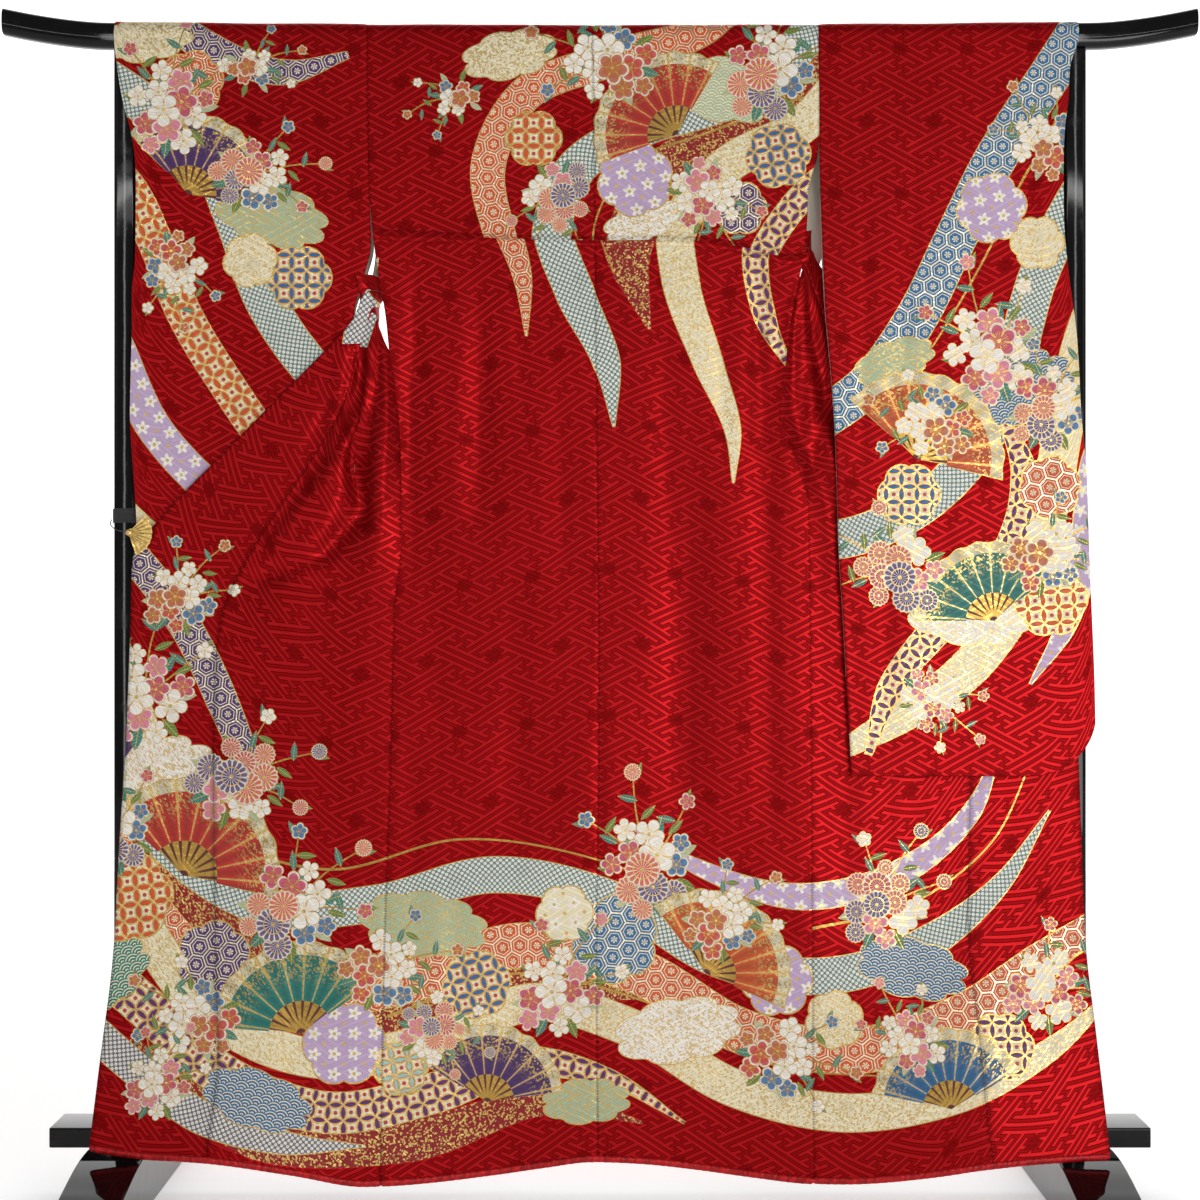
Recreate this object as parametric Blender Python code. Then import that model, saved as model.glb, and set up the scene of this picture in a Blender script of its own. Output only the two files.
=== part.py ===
"""A furisode kimono, hung back outwards over a lacquered display rack, as a Blender model.

Units: metres, +Z up. +X is to the right of someone who faces the kimono's back, and that
back faces -Y. The origin is on the floor under the middle of the rack. The tables give
millimetres. The cloth is a wall of one thickness round a middle surface. Left and right
are those of the viewer.
"""

import math

import bpy
import numpy as np

MM = 0.001

# Rack
RAIL_HALF_LENGTH = 858.0
RAIL_HALF_HEIGHT = 19.0
RAIL_HALF_DEPTH = 18.0
RAIL_Z = 1665.5
RAIL_BOW = 8.0
RAIL_STRAIGHT = 712.0
RAIL_RISE = 18.0
RAIL_CORNER = 3.0
POLE_X = 682.0
POLE_WIDTH = 32.0
POLE_DEPTH = 28.0
POLE_CORNER = 6.0
PLANK_HALF_LENGTH = 782.0
PLANK_DEPTH = 100.0
PLANK_THICKNESS = 28.5
PLANK_BOTTOM = 81.5
FOOT_WIDTH = 88.0
FOOT_HALF_DEPTH = 290.0
SEAT_GAP = 0.3

# Cloth
WALL = 1.6
RAIL_CLEARANCE = 1.4
SEAM_GAP = 0.3
OVERLAP_GAP = 0.5
EDGE_GAP = 1.2
NECK_Z = 1658.0
ROLL_HEIGHT = 10.0
ROLL_DEPTH = 6.0
DRAPE = 42.0
FLARE = {"left": 64.0, "right": 78.0}
COLLAR_WIDTH = 46.0
COLLAR_GAP = 0.7

BACK_COLUMNS = 14
FRONT_COLUMNS = 10
OVERLAP_COLUMNS = 4
SLEEVE_COLUMNS = 8
ARC_STEPS = 8


def clear_scene():
    """Removes what the startup scene holds."""
    for old in list(bpy.data.objects):
        bpy.data.objects.remove(old, do_unlink=True)


def finish(name, colour, roughness, metallic=0.0):
    """A Principled material of one plain finish."""
    made = bpy.data.materials.new(name)
    made.use_nodes = True
    shader = made.node_tree.nodes["Principled BSDF"]
    shader.inputs["Base Color"].default_value = (*colour, 1.0)
    shader.inputs["Roughness"].default_value = roughness
    shader.inputs["Metallic"].default_value = metallic
    return made


def add_mesh(name, points, faces, material, smooth=True):
    """One named object from points in millimetres and faces."""
    mesh = bpy.data.meshes.new(name)
    mesh.from_pydata((np.asarray(points, float) * MM).tolist(), [], [list(face) for face in faces])
    mesh.update()
    mesh.materials.append(material)
    if smooth:
        mesh.shade_smooth()
        mesh.set_sharp_from_angle(angle=math.radians(35))
    made = bpy.data.objects.new(name, mesh)
    bpy.context.scene.collection.objects.link(made)
    return made


def spline(keys, values, at):
    """Cubic through the values at the rising keys, with slopes held back so it never overshoots."""
    keys = np.asarray(keys, float)
    values = np.asarray(values, float)
    flat = values.ndim == 1
    if flat:
        values = values[:, None]
    at = np.clip(np.asarray(at, float), keys[0], keys[-1])
    rise = np.diff(values, axis=0) / np.diff(keys)[:, None]
    slopes = np.concatenate([rise[:1], (rise[:-1] + rise[1:]) / 2, rise[-1:]])
    limit = 3 * np.minimum(np.abs(rise[:-1]), np.abs(rise[1:])) * (rise[:-1] * rise[1:] > 0)
    slopes[1:-1] = np.clip(slopes[1:-1], -limit, limit)
    index = np.clip(np.searchsorted(keys, at, side="right") - 1, 0, len(keys) - 2)
    span = (keys[index + 1] - keys[index])[..., None]
    t = (at[..., None] - keys[index][..., None]) / span
    start = (1 + 2 * t) * (1 - t) ** 2 * values[index] + t * (1 - t) ** 2 * span * slopes[index]
    end = t**2 * (3 - 2 * t) * values[index + 1] + t**2 * (t - 1) * span * slopes[index + 1]
    return (start + end)[..., 0] if flat else start + end


def by_height(table, heights, column=1):
    """The value at each height of a table whose rows start with their heights and run downwards."""
    rows = np.array(table[::-1], float)
    return spline(rows[:, 0], rows[:, column], heights)


def rail_bow(x):
    """How far the rail's axis lies above its middle at x, without the turned up ends."""
    return RAIL_BOW * (x / RAIL_HALF_LENGTH) ** 2


def unit(vectors):
    """Each vector at length one."""
    return vectors / np.linalg.norm(vectors, axis=-1, keepdims=True)


class Cloth:
    """A middle surface of quads, one set of faces for each piece, which share their normals at seams."""

    def __init__(self, turned=False):
        self.points = np.zeros((0, 3))
        self.faces = {}
        self.turned = turned

    def add(self, grid):
        """Adds a grid of points, raised with the rail near it, and returns their numbers in its layout."""
        first = len(self.points)
        flat = np.array(grid, float).reshape(-1, 3)
        flat[:, 2] += rail_bow(flat[:, 0]) * np.clip((flat[:, 2] - 1361) / 250, 0, 1)
        self.points = np.vstack([self.points, flat])
        return np.arange(first, first + len(flat)).reshape(np.asarray(grid).shape[:-1])

    def stitch(self, piece, numbers):
        """Adds to a piece the quads between neighbouring rows and columns of numbered points."""
        corners = [numbers[:-1, :-1], numbers[1:, :-1], numbers[1:, 1:], numbers[:-1, 1:]]
        quads = np.stack([part.ravel() for part in corners], axis=1)
        if self.turned:
            quads = quads[:, ::-1]
        held = self.faces.get(piece, np.zeros((0, 4), int))
        self.faces[piece] = np.vstack([held, quads])

    def normals(self):
        """Unit normals at every point, from the faces of all pieces round it."""
        faces = np.vstack(list(self.faces.values()))
        across = self.points[faces[:, 2]] - self.points[faces[:, 0]]
        along = self.points[faces[:, 3]] - self.points[faces[:, 1]]
        total = np.zeros_like(self.points)
        for corner in range(4):
            np.add.at(total, faces[:, corner], np.cross(across, along))
        used = np.unique(faces)
        total[used] = unit(total[used])
        return total

    def wall(self, piece, material, thickness=WALL, moved=None):
        """The closed wall of one piece: its surface moved out and in by half the thickness, with rims."""
        faces = self.faces[piece]
        used = np.unique(faces)
        renumber = np.full(len(self.points), -1)
        renumber[used] = np.arange(len(used))
        points = self.points.copy()
        if moved is not None:
            points[moved[0]] += moved[1]
        points = points[used]
        push = self.normals()[used] * thickness / 2
        faces = renumber[faces]
        count = len(points)
        edges = np.concatenate([faces[:, [k, (k + 1) % 4]] for k in range(4)])
        present = {tuple(edge) for edge in edges.tolist()}
        rims = [(b, a, a + count, b + count) for a, b in present if (b, a) not in present]
        shell = faces.tolist() + (faces[:, ::-1] + count).tolist() + sorted(rims)
        return add_mesh(piece, np.vstack([points + push, points - push]), shell, material)


def rounded_rectangle(width, depth, corner, steps=4):
    """(x, y) round a rectangle with round corners, anticlockwise."""
    outline = []
    for quarter in range(4):
        middle_x = (width / 2 - corner) * (1 if quarter in (0, 3) else -1)
        middle_y = (depth / 2 - corner) * (1 if quarter in (0, 1) else -1)
        for step in range(steps + 1):
            angle = math.pi / 2 * (quarter + step / steps)
            outline.append((middle_x + corner * math.cos(angle), middle_y + corner * math.sin(angle)))
    return outline


def prism(name, outline, half_thickness, centre, axis, material):
    """An outline extruded both ways along x, y or z about a centre. It holds the other two values."""
    outline = np.asarray(outline, float)
    after = np.roll(outline, -1, axis=0)
    turning = np.sum(outline[:, 0] * after[:, 1] - after[:, 0] * outline[:, 1])
    if (turning > 0) == (axis == "y"):
        outline = outline[::-1]
    count = len(outline)
    along = "xyz".index(axis)
    first, second = (k for k in range(3) if k != along)
    points = np.zeros((2, count, 3))
    points[:, :, first] = outline[:, 0]
    points[:, :, second] = outline[:, 1]
    points[0, :, along] = -half_thickness
    points[1, :, along] = half_thickness
    points += np.asarray(centre, float)
    ring = list(range(count))
    faces = [ring[::-1], [count + k for k in ring]]
    faces += [[k, (k + 1) % count, count + (k + 1) % count, count + k] for k in ring]
    return add_mesh(name, points.reshape(-1, 3), faces, material)


def tube_faces(rings, sides):
    """Faces round rings that run along +X, each anticlockwise seen from +X, with both ends closed."""
    numbers = np.arange(rings * sides).reshape(rings, sides)
    closed = np.hstack([numbers, numbers[:, :1]])
    corners = [closed[:-1, :-1], closed[:-1, 1:], closed[1:, 1:], closed[1:, :-1]]
    faces = np.stack([part.ravel() for part in corners], axis=1).tolist()
    return faces + [numbers[0].tolist()[::-1], numbers[-1].tolist()]


def rail_section(turns, grow=0.0):
    """(y, z) about the rail's axis at each angle in turns: a rounded square, grown outwards."""
    angle = np.asarray(turns, float) * 2 * math.pi
    power = 2.0 / RAIL_CORNER
    y = np.sign(np.cos(angle)) * np.abs(np.cos(angle)) ** power * (RAIL_HALF_DEPTH + grow)
    z = np.sign(np.sin(angle)) * np.abs(np.sin(angle)) ** power * (RAIL_HALF_HEIGHT + grow)
    return y, z


def build_rail(material):
    """A straight rail whose ends turn up, with flat end faces."""
    bend = np.linspace(0, 1, 10) ** 1.2
    straight = np.linspace(0, 0.8, 5) * RAIL_STRAIGHT
    half = np.concatenate([straight, RAIL_STRAIGHT + (RAIL_HALF_LENGTH - RAIL_STRAIGHT) * bend])
    stations = np.concatenate([-half[:0:-1], half])
    past = np.clip((np.abs(stations) - RAIL_STRAIGHT) / (RAIL_HALF_LENGTH - RAIL_STRAIGHT), 0, 1)
    lift = RAIL_RISE * past**1.6 + rail_bow(stations)
    sides = 20
    y, z = rail_section(np.arange(sides) / sides + 0.5 / sides)
    rings = np.zeros((len(stations), sides, 3))
    rings[:, :, 0] = stations[:, None]
    rings[:, :, 1] = y
    rings[:, :, 2] = RAIL_Z + z + lift[:, None]
    add_mesh("top_rail", rings.reshape(-1, 3), tube_faces(len(stations), sides), material)


def foot_outline():
    """(y, z) round one foot: flat underneath, its back falling from the plank to the round toes."""
    half = [(50.5, PLANK_BOTTOM - SEAT_GAP), (85, 80.8), (114, 79), (170, 71.8), (218, 62.8), (242, 58)]
    half += [(264, 51), (280, 39), (288.5, 22), (FOOT_HALF_DEPTH, 0)]
    return half + [(-y, z) for y, z in half[::-1]]


def build_rack(lacquer):
    """Rail, two poles, base plank and two feet that lie flat on the floor."""
    build_rail(lacquer)
    pole_bottom = PLANK_BOTTOM + PLANK_THICKNESS + SEAT_GAP
    pole_top = RAIL_Z + rail_bow(POLE_X - POLE_WIDTH / 2) - RAIL_HALF_HEIGHT - SEAT_GAP
    section = rounded_rectangle(POLE_WIDTH, POLE_DEPTH, POLE_CORNER)
    for name, side in (("pole_left", -1), ("pole_right", 1)):
        centre = (side * POLE_X, 0, (pole_bottom + pole_top) / 2)
        prism(name, section, (pole_top - pole_bottom) / 2, centre, "z", lacquer)
    section = rounded_rectangle(PLANK_DEPTH, PLANK_THICKNESS, 3.0, 2)
    centre = (0, 0, PLANK_BOTTOM + PLANK_THICKNESS / 2)
    prism("base_plank", section, PLANK_HALF_LENGTH, centre, "x", lacquer)
    for name, side in (("foot_left", -1), ("foot_right", 1)):
        prism(name, foot_outline(), FOOT_WIDTH / 2, (side * POLE_X, 0, 0), "x", lacquer)


def back_depth(x, height, half):
    """y of the back: a straight fall from the rail past the plank, and flared where it meets the feet."""
    x = np.asarray(x, float)
    height = np.asarray(height, float)
    fall = np.clip((1661 - height) / 1600, 0, 1.02)
    out = np.clip((np.abs(x) - 60) / 580, 0, 1)
    low = np.clip((861 - height) / 800, 0, 1.1)
    flare = FLARE[half] * out**2 * (3 - 2 * out) * low**1.6
    return -(RAIL_HALF_DEPTH + RAIL_CLEARANCE) - DRAPE * fall - flare


# Hem line: x and height of the lowest point of the cloth, roll included.
HEM = [
    (-735, 94), (-710, 91), (-649, 81), (-550, 74), (-430, 53), (-325, 34), (-266, 35), (-141, 46),
    (-80, 54), (-10, 62.5), (60, 60), (130, 53), (215, 44), (296, 38.5), (366, 41), (470, 55), (540, 68),
    (658, 80), (706, 82), (735, 83),
]

# Centre back seam: height and x.
CENTRE = [(1683, -11), (1145, -5), (718, -2), (323, -5), (1, -2)]

# Side seams of the back: height and x, from the shoulder down.
SIDE_LEFT = [
    (1683, -333), (1499, -331), (1385, -325), (1370, -320), (1334, -318), (1294, -312), (1270, -307),
    (1215, -301), (1089, -287), (931, -285), (865, -291), (791, -294), (632, -297), (361, -305), (1, -309),
]
SIDE_RIGHT = [
    (1683, 313), (1506, 314), (1482, 305), (1446, 298), (1377, 295), (1316, 284), (1255, 272), (1208, 266),
    (1124, 258), (1058, 280), (988, 298), (576, 300), (1, 300),
]

# Fronts from the neck down, above the side seam: a row for each section across. It gives the
# side edge, the seam with the overlap panel and the outer edge as x, y, height, and the fold depth.
FREE_LEFT = [
    (-333, 19.4, 1658, -105, 19.4, 1658, -105, 19.4, 1658, 0),
    (-331.5, 20, 1567, -160, 21, 1577, -158, 21, 1578, 0),
    (-329, 21, 1477, -222, 26, 1487, -212, 27, 1489, 2),
    (-325, 23, 1401, -278, 27, 1409, -264, 28, 1411, 3),
    (-326, 24, 1353, -305, 24, 1355, -290, 26, 1356, 3),
    (-332, 21, 1304, -311, 16, 1313, -296, 13, 1318, 2),
    (-332, 15, 1268, -316, 3, 1286, -306, -5, 1298, 2),
    (-320, -8, 1242, -319, -12, 1279, -318, -14, 1302, 2),
    (-311.5, -25, 1229, -324, -28, 1275, -331, -30.5, 1302, 2),
]
FREE_RIGHT = [
    (313, 19.4, 1658, 81, 19.4, 1658, 81, 19.4, 1658, 0),
    (312, 20, 1581, 128, 21, 1591, 126, 21, 1592, 0),
    (312, 21, 1511, 190, 26, 1521, 182, 27, 1523, 2),
    (311, 21, 1451, 262, 27, 1457, 249, 28, 1459, 3),
    (312, 19, 1409, 283, 22, 1411, 269, 24, 1412, 3),
    (317, 17, 1366, 292, 12, 1375, 277, 9, 1380, 2),
    (310, 10, 1332, 294, -2, 1350, 284, -10, 1362, 2),
    (299, -8, 1311, 296, -12, 1342, 294, -14, 1363, 2),
    (290, -20, 1318, 299, -13, 1341, 303, -9, 1365, 1),
]

# The same below, where the side edge is sewn to the back: its height only, then the other two.
SEWN_LEFT = [
    (1211, -343, -31, 1221, -353, -32, 1259, 6),
    (1149, -361, -31, 1154, -416, -31, 1192, 13),
    (1079, -391, -31, 1093, -478, -31, 1130, 15),
    (999, -428, -31, 1036, -543, -31, 1064, 12),
    (930, -474, -31.5, 967, -617, -31, 988, 8),
    (866, -511, -33, 905, -667, -31.5, 918, 5),
    (791, -541, -34, 833, -670, -32, 831, 4),
    (632, -550, -41, 653, -675, -42, 653, 3),
    (505, -547, -58, 510, -681, -59, 510, 2),
    (358, -541, -78, 353, -686, -81, 351, 2),
    (218, -535, -97, 220, -699, -101, 219, 1),
    (46, -548, -119.4, 87, -710, -121.6, 101, 0),
]
SEWN_RIGHT = [
    (1311, 305, -10, 1313, 311, -3, 1349, 1),
    (1255, 321, -9, 1267, 345, -5, 1302, 5),
    (1198, 341, -12, 1208, 394, -9, 1247, 7),
    (1124, 371, -14, 1139, 458, -12, 1173, 9),
    (1055, 413, -17, 1069, 532, -16, 1098, 8),
    (988, 452, -20, 1004, 596, -19, 1034, 7),
    (911, 487, -23, 931, 650, -21, 960, 5),
    (832, 515, -26, 852, 673, -21.5, 881, 4),
    (703, 529, -32, 713, 680, -29, 723, 3),
    (576, 527, -39, 576, 684, -38, 576, 2),
    (379, 520, -70, 379, 685, -72, 379, 1),
    (258, 530, -99, 258, 693, -103, 258, 1),
    (151, 537, -120, 156, 701, -125, 156, 0),
    (52, 545, -132.5, 82, 706, -136.5, 92, 0),
]

# The sewn rows start with this one, and the fronts' grids are finer above this many of the last.
SEWN_FROM = 9
PLAIN_ROWS = 8

# Ridges across a front: place from the side seam to the overlap seam, and half width.
RIDGES = [(0.2, 0.12), (0.65, 0.13)]

# Soft upright waves of the back: x, height, half width, half height, depth towards the rack.
BACK_WAVES = [
    (-172, 1131, 26, 160, 5), (-262, 1091, 22, 200, 6), (235, 1111, 20, 150, 6), (120, 861, 40, 260, 4),
]


def hem_height(x):
    """Height of the hem line at x."""
    rows = np.array(HEM, float)
    return spline(rows[:, 0], rows[:, 1], x)


def front_sections(half, free, sewn, side):
    """All sections of a front, the sewn rows with their side edge set beside the back's."""
    rows = [list(row) for row in free]
    for height, *others in sewn:
        x = float(by_height(side, height))
        rows.append([x + math.copysign(EDGE_GAP, x), float(back_depth(x, height, half)), height, *others])
    return np.array(rows, float)


def front_grid(sections):
    """The front and its overlap panel as one grid from the side edge to the outer edge."""
    fan = len(sections) - PLAIN_ROWS
    places = np.concatenate([np.arange(0.5, fan, 0.5), np.arange(fan, len(sections))])
    steps = np.linalg.norm(np.diff(sections[:, 3:6], axis=0), axis=1)
    keys = np.concatenate([[0], np.cumsum(steps)])
    at = np.interp(places, np.arange(len(sections)), keys)
    rows = spline(keys, sections, at)
    side, seam, edge, depth = rows[:, None, 0:3], rows[:, None, 3:6], rows[:, None, 6:9], rows[:, 9]
    share = np.linspace(0, 1, FRONT_COLUMNS + 1)
    inner = side * (1 - share[None, :, None]) + seam * share[None, :, None]
    out = np.linspace(0, 1, OVERLAP_COLUMNS + 1)[1:]
    outer = seam * (1 - out[None, :, None]) + edge * out[None, :, None]
    grid = np.concatenate([inner, outer], axis=1)
    across = np.gradient(inner, axis=1)
    along = np.gradient(inner, axis=0)
    wave = sum(np.exp(-(((share - place) / width) ** 2)) for place, width in RIDGES)
    wave = wave * np.minimum(share / 0.1, 1)
    outward = unit(np.cross(across, along))
    grid[:, : FRONT_COLUMNS + 1] += outward * (depth[:, None] * wave)[:, :, None]
    foot = hem_height(grid[-1, :, 0]) + ROLL_HEIGHT + SEAM_GAP
    weight = np.array([0.2, 0.5, 1.0])[:, None]
    grid[-3:, :, 2] += (foot - grid[-1, :, 2])[None, :] * weight
    return grid, places


def back_grid(half, side, sewn):
    """The back from the hem up to the rail, with a row at each height of its sewn side edge."""
    free = sewn[0] + (RAIL_Z - sewn[0]) * np.array([1.0, 0.85, 0.68, 0.52, 0.38, 0.26, 0.12])
    heights = np.concatenate([free, sewn])[::-1, None]
    share = np.linspace(0, 1, BACK_COLUMNS + 1)
    low = by_height(side, heights[0, 0]) * (1 - share) + by_height(CENTRE, heights[0, 0]) * share
    foot = hem_height(low) + ROLL_HEIGHT + SEAM_GAP
    z = RAIL_Z + (foot - RAIL_Z) * (RAIL_Z - heights) / (RAIL_Z - heights[0, 0])
    z = z * share + heights * (1 - share)
    z[0] = foot
    outer = by_height(side, heights)
    x = outer * (1 - share) + (by_height(CENTRE, z) + SEAM_GAP / 2 * np.sign(outer)) * share
    y = back_depth(x, z, half)
    for wave_x, wave_z, half_x, half_z, depth in BACK_WAVES:
        y = y + depth * np.exp(-(((x - wave_x) / half_x) ** 2) - ((z - wave_z) / half_z) ** 2)
    return np.stack([x, y, z], axis=2)


def rail_arc(x_start, x_end):
    """Rows over the rail from just past the near side to just before the far side."""
    share = np.linspace(0, 1, ARC_STEPS + 1)[1:-1]
    y, z = rail_section(0.5 - share / 2, RAIL_CLEARANCE)
    grid = np.zeros((len(share), len(x_start), 3))
    grid[:, :, 0] = x_start * (1 - share[:, None]) + x_end * share[:, None]
    grid[:, :, 1] = y[:, None]
    grid[:, :, 2] = RAIL_Z + z[:, None]
    return grid


def build_body(half, side, sections, silk):
    """Half of the body: the back and its turn over the rail, the front below it and its overlap panel."""
    body = "body_" + half
    front = "front_" + half
    overlap = "okumi_" + half
    cloth = Cloth(turned=half == "right")
    grid, places = front_grid(sections)
    back = back_grid(half, side, grid[places >= SEWN_FROM, 0, 2])
    over = rail_arc(back[-1, :, 0], back[-1, :, 0])
    far = back[-1:].copy()
    far[:, :, 1] *= -1
    neck = far.copy()
    neck[:, :, 2] = NECK_Z
    rows = cloth.add(np.vstack([back, over, far, neck]))
    cloth.stitch(body, rows)
    numbers = cloth.add(grid)
    split = FRONT_COLUMNS + 1
    cloth.stitch(front, np.vstack([rows[-1:, :split], numbers[:, :split]]))
    first = int(np.argmax(places >= 2))
    cloth.stitch(overlap, numbers[first:, FRONT_COLUMNS:])
    seam = numbers[first:, FRONT_COLUMNS]
    apart = unit(grid[first:, FRONT_COLUMNS + 1] - grid[first:, FRONT_COLUMNS]) * OVERLAP_GAP
    cloth.wall(body, silk)
    cloth.wall(front, silk, moved=(rows[-1, :split], (0, 0, -SEAM_GAP)))
    cloth.wall(overlap, silk, moved=(seam, apart))
    return back[0], grid, places


# Sleeves: height, inner edge x, outer edge x of the near and the far layer, then y of the near
# layer and of the far layer at its inner and its outer edge.
SLEEVE_LEFT = [
    (1665.5, -333, -696, -694, -19.4, 19.4, 19.4),
    (1624, -333, -692, -690, -20.2, 20.0, 19.6),
    (1579, -332, -685, -684, -21.2, 20.3, 19.4),
    (1514, -331, -669, -671, -22.7, 20.8, 18.0),
    (1462, -330, -664, -661, -23.8, 21.0, 10.0),
    (1385, -327, -664, -661, -25.5, 20.0, -6.0),
    (1343, -330, -665, -662, -25.9, 14.0, -13.5),
    (1298, -346, -669, -668, -25.8, 0.0, -18.3),
    (1248, -353, -669, -668, -25.4, -14.0, -19.2),
    (1146, -353, -672, -671, -24.9, -19.2, -19.2),
    (1092, -351, -671, -670, -24.7, -19.2, -19.2),
    (1000, -351, -664, -663, -24.5, -19.2, -19.2),
    (941, -351, -662, -661, -24.5, -19.2, -19.2),
    (696, -351, -660, -659, -24.5, -19.2, -19.2),
]
SLEEVE_RIGHT = [
    (1665.5, 313, 686, 684, -19.4, 19.4, 19.4),
    (1624, 313, 674, 673, -20.2, 20.0, 19.6),
    (1579, 313, 671, 670, -21.2, 20.3, 19.4),
    (1514, 313, 664, 666, -22.7, 20.8, 18.0),
    (1447, 315, 663, 660, -24.6, 16.0, 6.0),
    (1382, 317, 664, 661, -27.0, 0.0, -8.0),
    (1332, 319, 669, 668, -29.0, -12.0, -18.3),
    (1280, 321, 675, 674, -31.0, -20.0, -22.5),
    (1232, 325, 681, 680, -33.0, -25.0, -25.5),
    (1146, 332, 684, 683, -36.5, -30.5, -30.5),
    (1035, 337, 693, 692, -40.0, -34.3, -34.3),
    (941, 339, 695, 694, -43.5, -38.0, -38.0),
    (817, 346, 699, 698, -49.0, -43.5, -43.5),
    (697, 352, 702, 701, -54.5, -49.0, -49.0),
    (651, 356, 702, 701, -56.5, -51.0, -51.0),
]
SLEEVE_SEAM_END = {"left": 1385.0, "right": 1506.0}
CUFF_END = 1501.0
SLEEVE_BOTTOM = 611.0
SLEEVE_CORNER = 88.0
FOLD_BULGE = 1.2


def build_sleeve(half, table, side, silk):
    """One sleeve: near layer, over the rail, far layer, closed below the cuff and along the bottom."""
    name = "sleeve_" + half
    share = np.linspace(0, 1, SLEEVE_COLUMNS + 1)
    corner_share = np.clip((share - 0.74) / 0.26, 0, 1)
    foot = SLEEVE_BOTTOM + SLEEVE_CORNER * (1 - np.sqrt(1 - (0.985 * corner_share) ** 2))
    downs = np.concatenate([np.linspace(0, 0.42, 10), np.linspace(0.48, 1, 8)])[:, None]
    z = RAIL_Z + (foot - RAIL_Z) * downs
    inner = by_height(table, z)
    beside = by_height(side, z)
    seam = beside + np.sign(beside) * SEAM_GAP
    inner = np.where(z > SLEEVE_SEAM_END[half], seam, inner)
    layers = []
    for edge, y_inner, y_outer in ((2, 4, 4), (3, 5, 6)):
        x = inner * (1 - share) + by_height(table, z, edge) * share
        y = by_height(table, z, y_inner) * (1 - share) + by_height(table, z, y_outer) * share
        layers.append(np.stack([x, y, z], axis=2))
    near, far = layers
    cloth = Cloth(turned=half == "right")
    near_rows = cloth.add(near)
    far_rows = cloth.add(far)
    over = cloth.add(rail_arc(near[0, :, 0], far[0, :, 0]))
    cloth.stitch(name, np.vstack([near_rows[::-1], over, far_rows])[:, ::-1])
    closed = int(np.argmax(z[:, -1] < CUFF_END))
    side_fold = (near[closed:, -1] + far[closed:, -1]) / 2
    reach = np.minimum(np.abs(near[closed:, -1, 0]), np.abs(far[closed:, -1, 0]))
    reach += np.where(far[closed:, -1, 1] < -17, FOLD_BULGE, 0)
    side_fold[:, 0] = np.sign(side_fold[:, 0]) * reach
    side_numbers = cloth.add(side_fold)
    bottom_fold = (near[-1, :-1] + far[-1, :-1]) / 2
    bottom_fold[:, 2] -= FOLD_BULGE
    bottom_numbers = np.append(cloth.add(bottom_fold), side_numbers[-1])
    edge = np.stack([near_rows[closed:, -1], side_numbers, far_rows[closed:, -1]], axis=1)
    cloth.stitch(name, edge)
    cloth.stitch(name, np.stack([far_rows[-1], bottom_numbers, near_rows[-1]])[:, ::-1])
    cloth.wall(name, silk)


# Middle of the collar behind the neck: seam edge x, y, z and the width's direction.
NECK = [
    (-100, 21.8, 1653, 20, 2, -47), (-62, 21.4, 1658, 3, 1, -52), (-11, 21.4, 1658, 0, 1, -52),
    (38, 21.4, 1658, -3, 1, -52), (76, 21.8, 1653, -20, 2, -47),
]
COLLAR_ENDS = {"left": 13.6, "right": 15.5}

# The collar below the neck: sections past the first sewn one, where it lies folded in behind the
# front, its gathered width, how far it lies behind the front's edge, and its turn about that
# edge in degrees.
COLLAR_SECTIONS = [
    (-6, COLLAR_WIDTH, 0.0, 0), (-4.5, 24, 0.0, 0), (-2, 18, 0.0, 0), (-1, 26, 0.0, 0),
    (-0.5, 5, 2.4, 90), (0, 7, 2.4, 180), (1, 20, 2.4, 180), (2, COLLAR_WIDTH, 2.4, 180),
]


def collar_rows(half, grid, places):
    """Three points across for each row below the neck: beyond the front's edge, then turned in behind."""
    keep = (places >= 1) & (places <= COLLAR_ENDS[half])
    grid, places = grid[keep], places[keep]
    edge = grid[:, -1]
    across = edge - grid[:, -3]
    along = unit(np.gradient(edge, axis=0))
    open_way = unit(across - np.sum(across * along, axis=1, keepdims=True) * along)
    outward = np.cross(along, open_way) * (1 if half == "right" else -1)
    table = np.array(COLLAR_SECTIONS, float)
    past = places - SEWN_FROM
    width, behind, turn = (np.interp(past, table[:, 0], table[:, k])[:, None] for k in (1, 2, 3))
    turn = np.radians(turn)
    way = open_way * np.cos(turn) - outward * np.sin(turn)
    rows = [edge - outward * behind + way * (COLLAR_GAP + width * share) for share in (0.0, 0.5, 1.0)]
    return np.stack(rows, axis=1)


def build_collar(fronts, silk):
    """One band from end to end round the neck."""
    left, right = (collar_rows(half, *fronts[half]) for half in ("left", "right"))
    neck = np.array(NECK, float)
    share = np.linspace(0, 1, 3)[None, :, None]
    middle = neck[:, None, :3] + unit(neck[:, None, 3:]) * COLLAR_WIDTH * share
    cloth = Cloth(turned=True)
    cloth.stitch("collar", cloth.add(np.vstack([left[::-1], middle, right])))
    cloth.wall("collar", silk)


def build_roll(name, bottom, satin):
    """The padded roll along a stretch of the hem: a flat oval carried under the cloth's lower edge."""
    sides = 8
    angle = np.arange(sides) / sides * 2 * math.pi
    rings = np.repeat(bottom[:, None, :], sides, axis=1)
    rings[:, :, 1] += np.cos(angle) * ROLL_DEPTH / 2
    rings[:, :, 2] += np.sin(angle) * ROLL_HEIGHT / 2 - ROLL_HEIGHT / 2 - SEAM_GAP
    add_mesh(name, rings.reshape(-1, 3), tube_faces(len(bottom), sides), satin)


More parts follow.
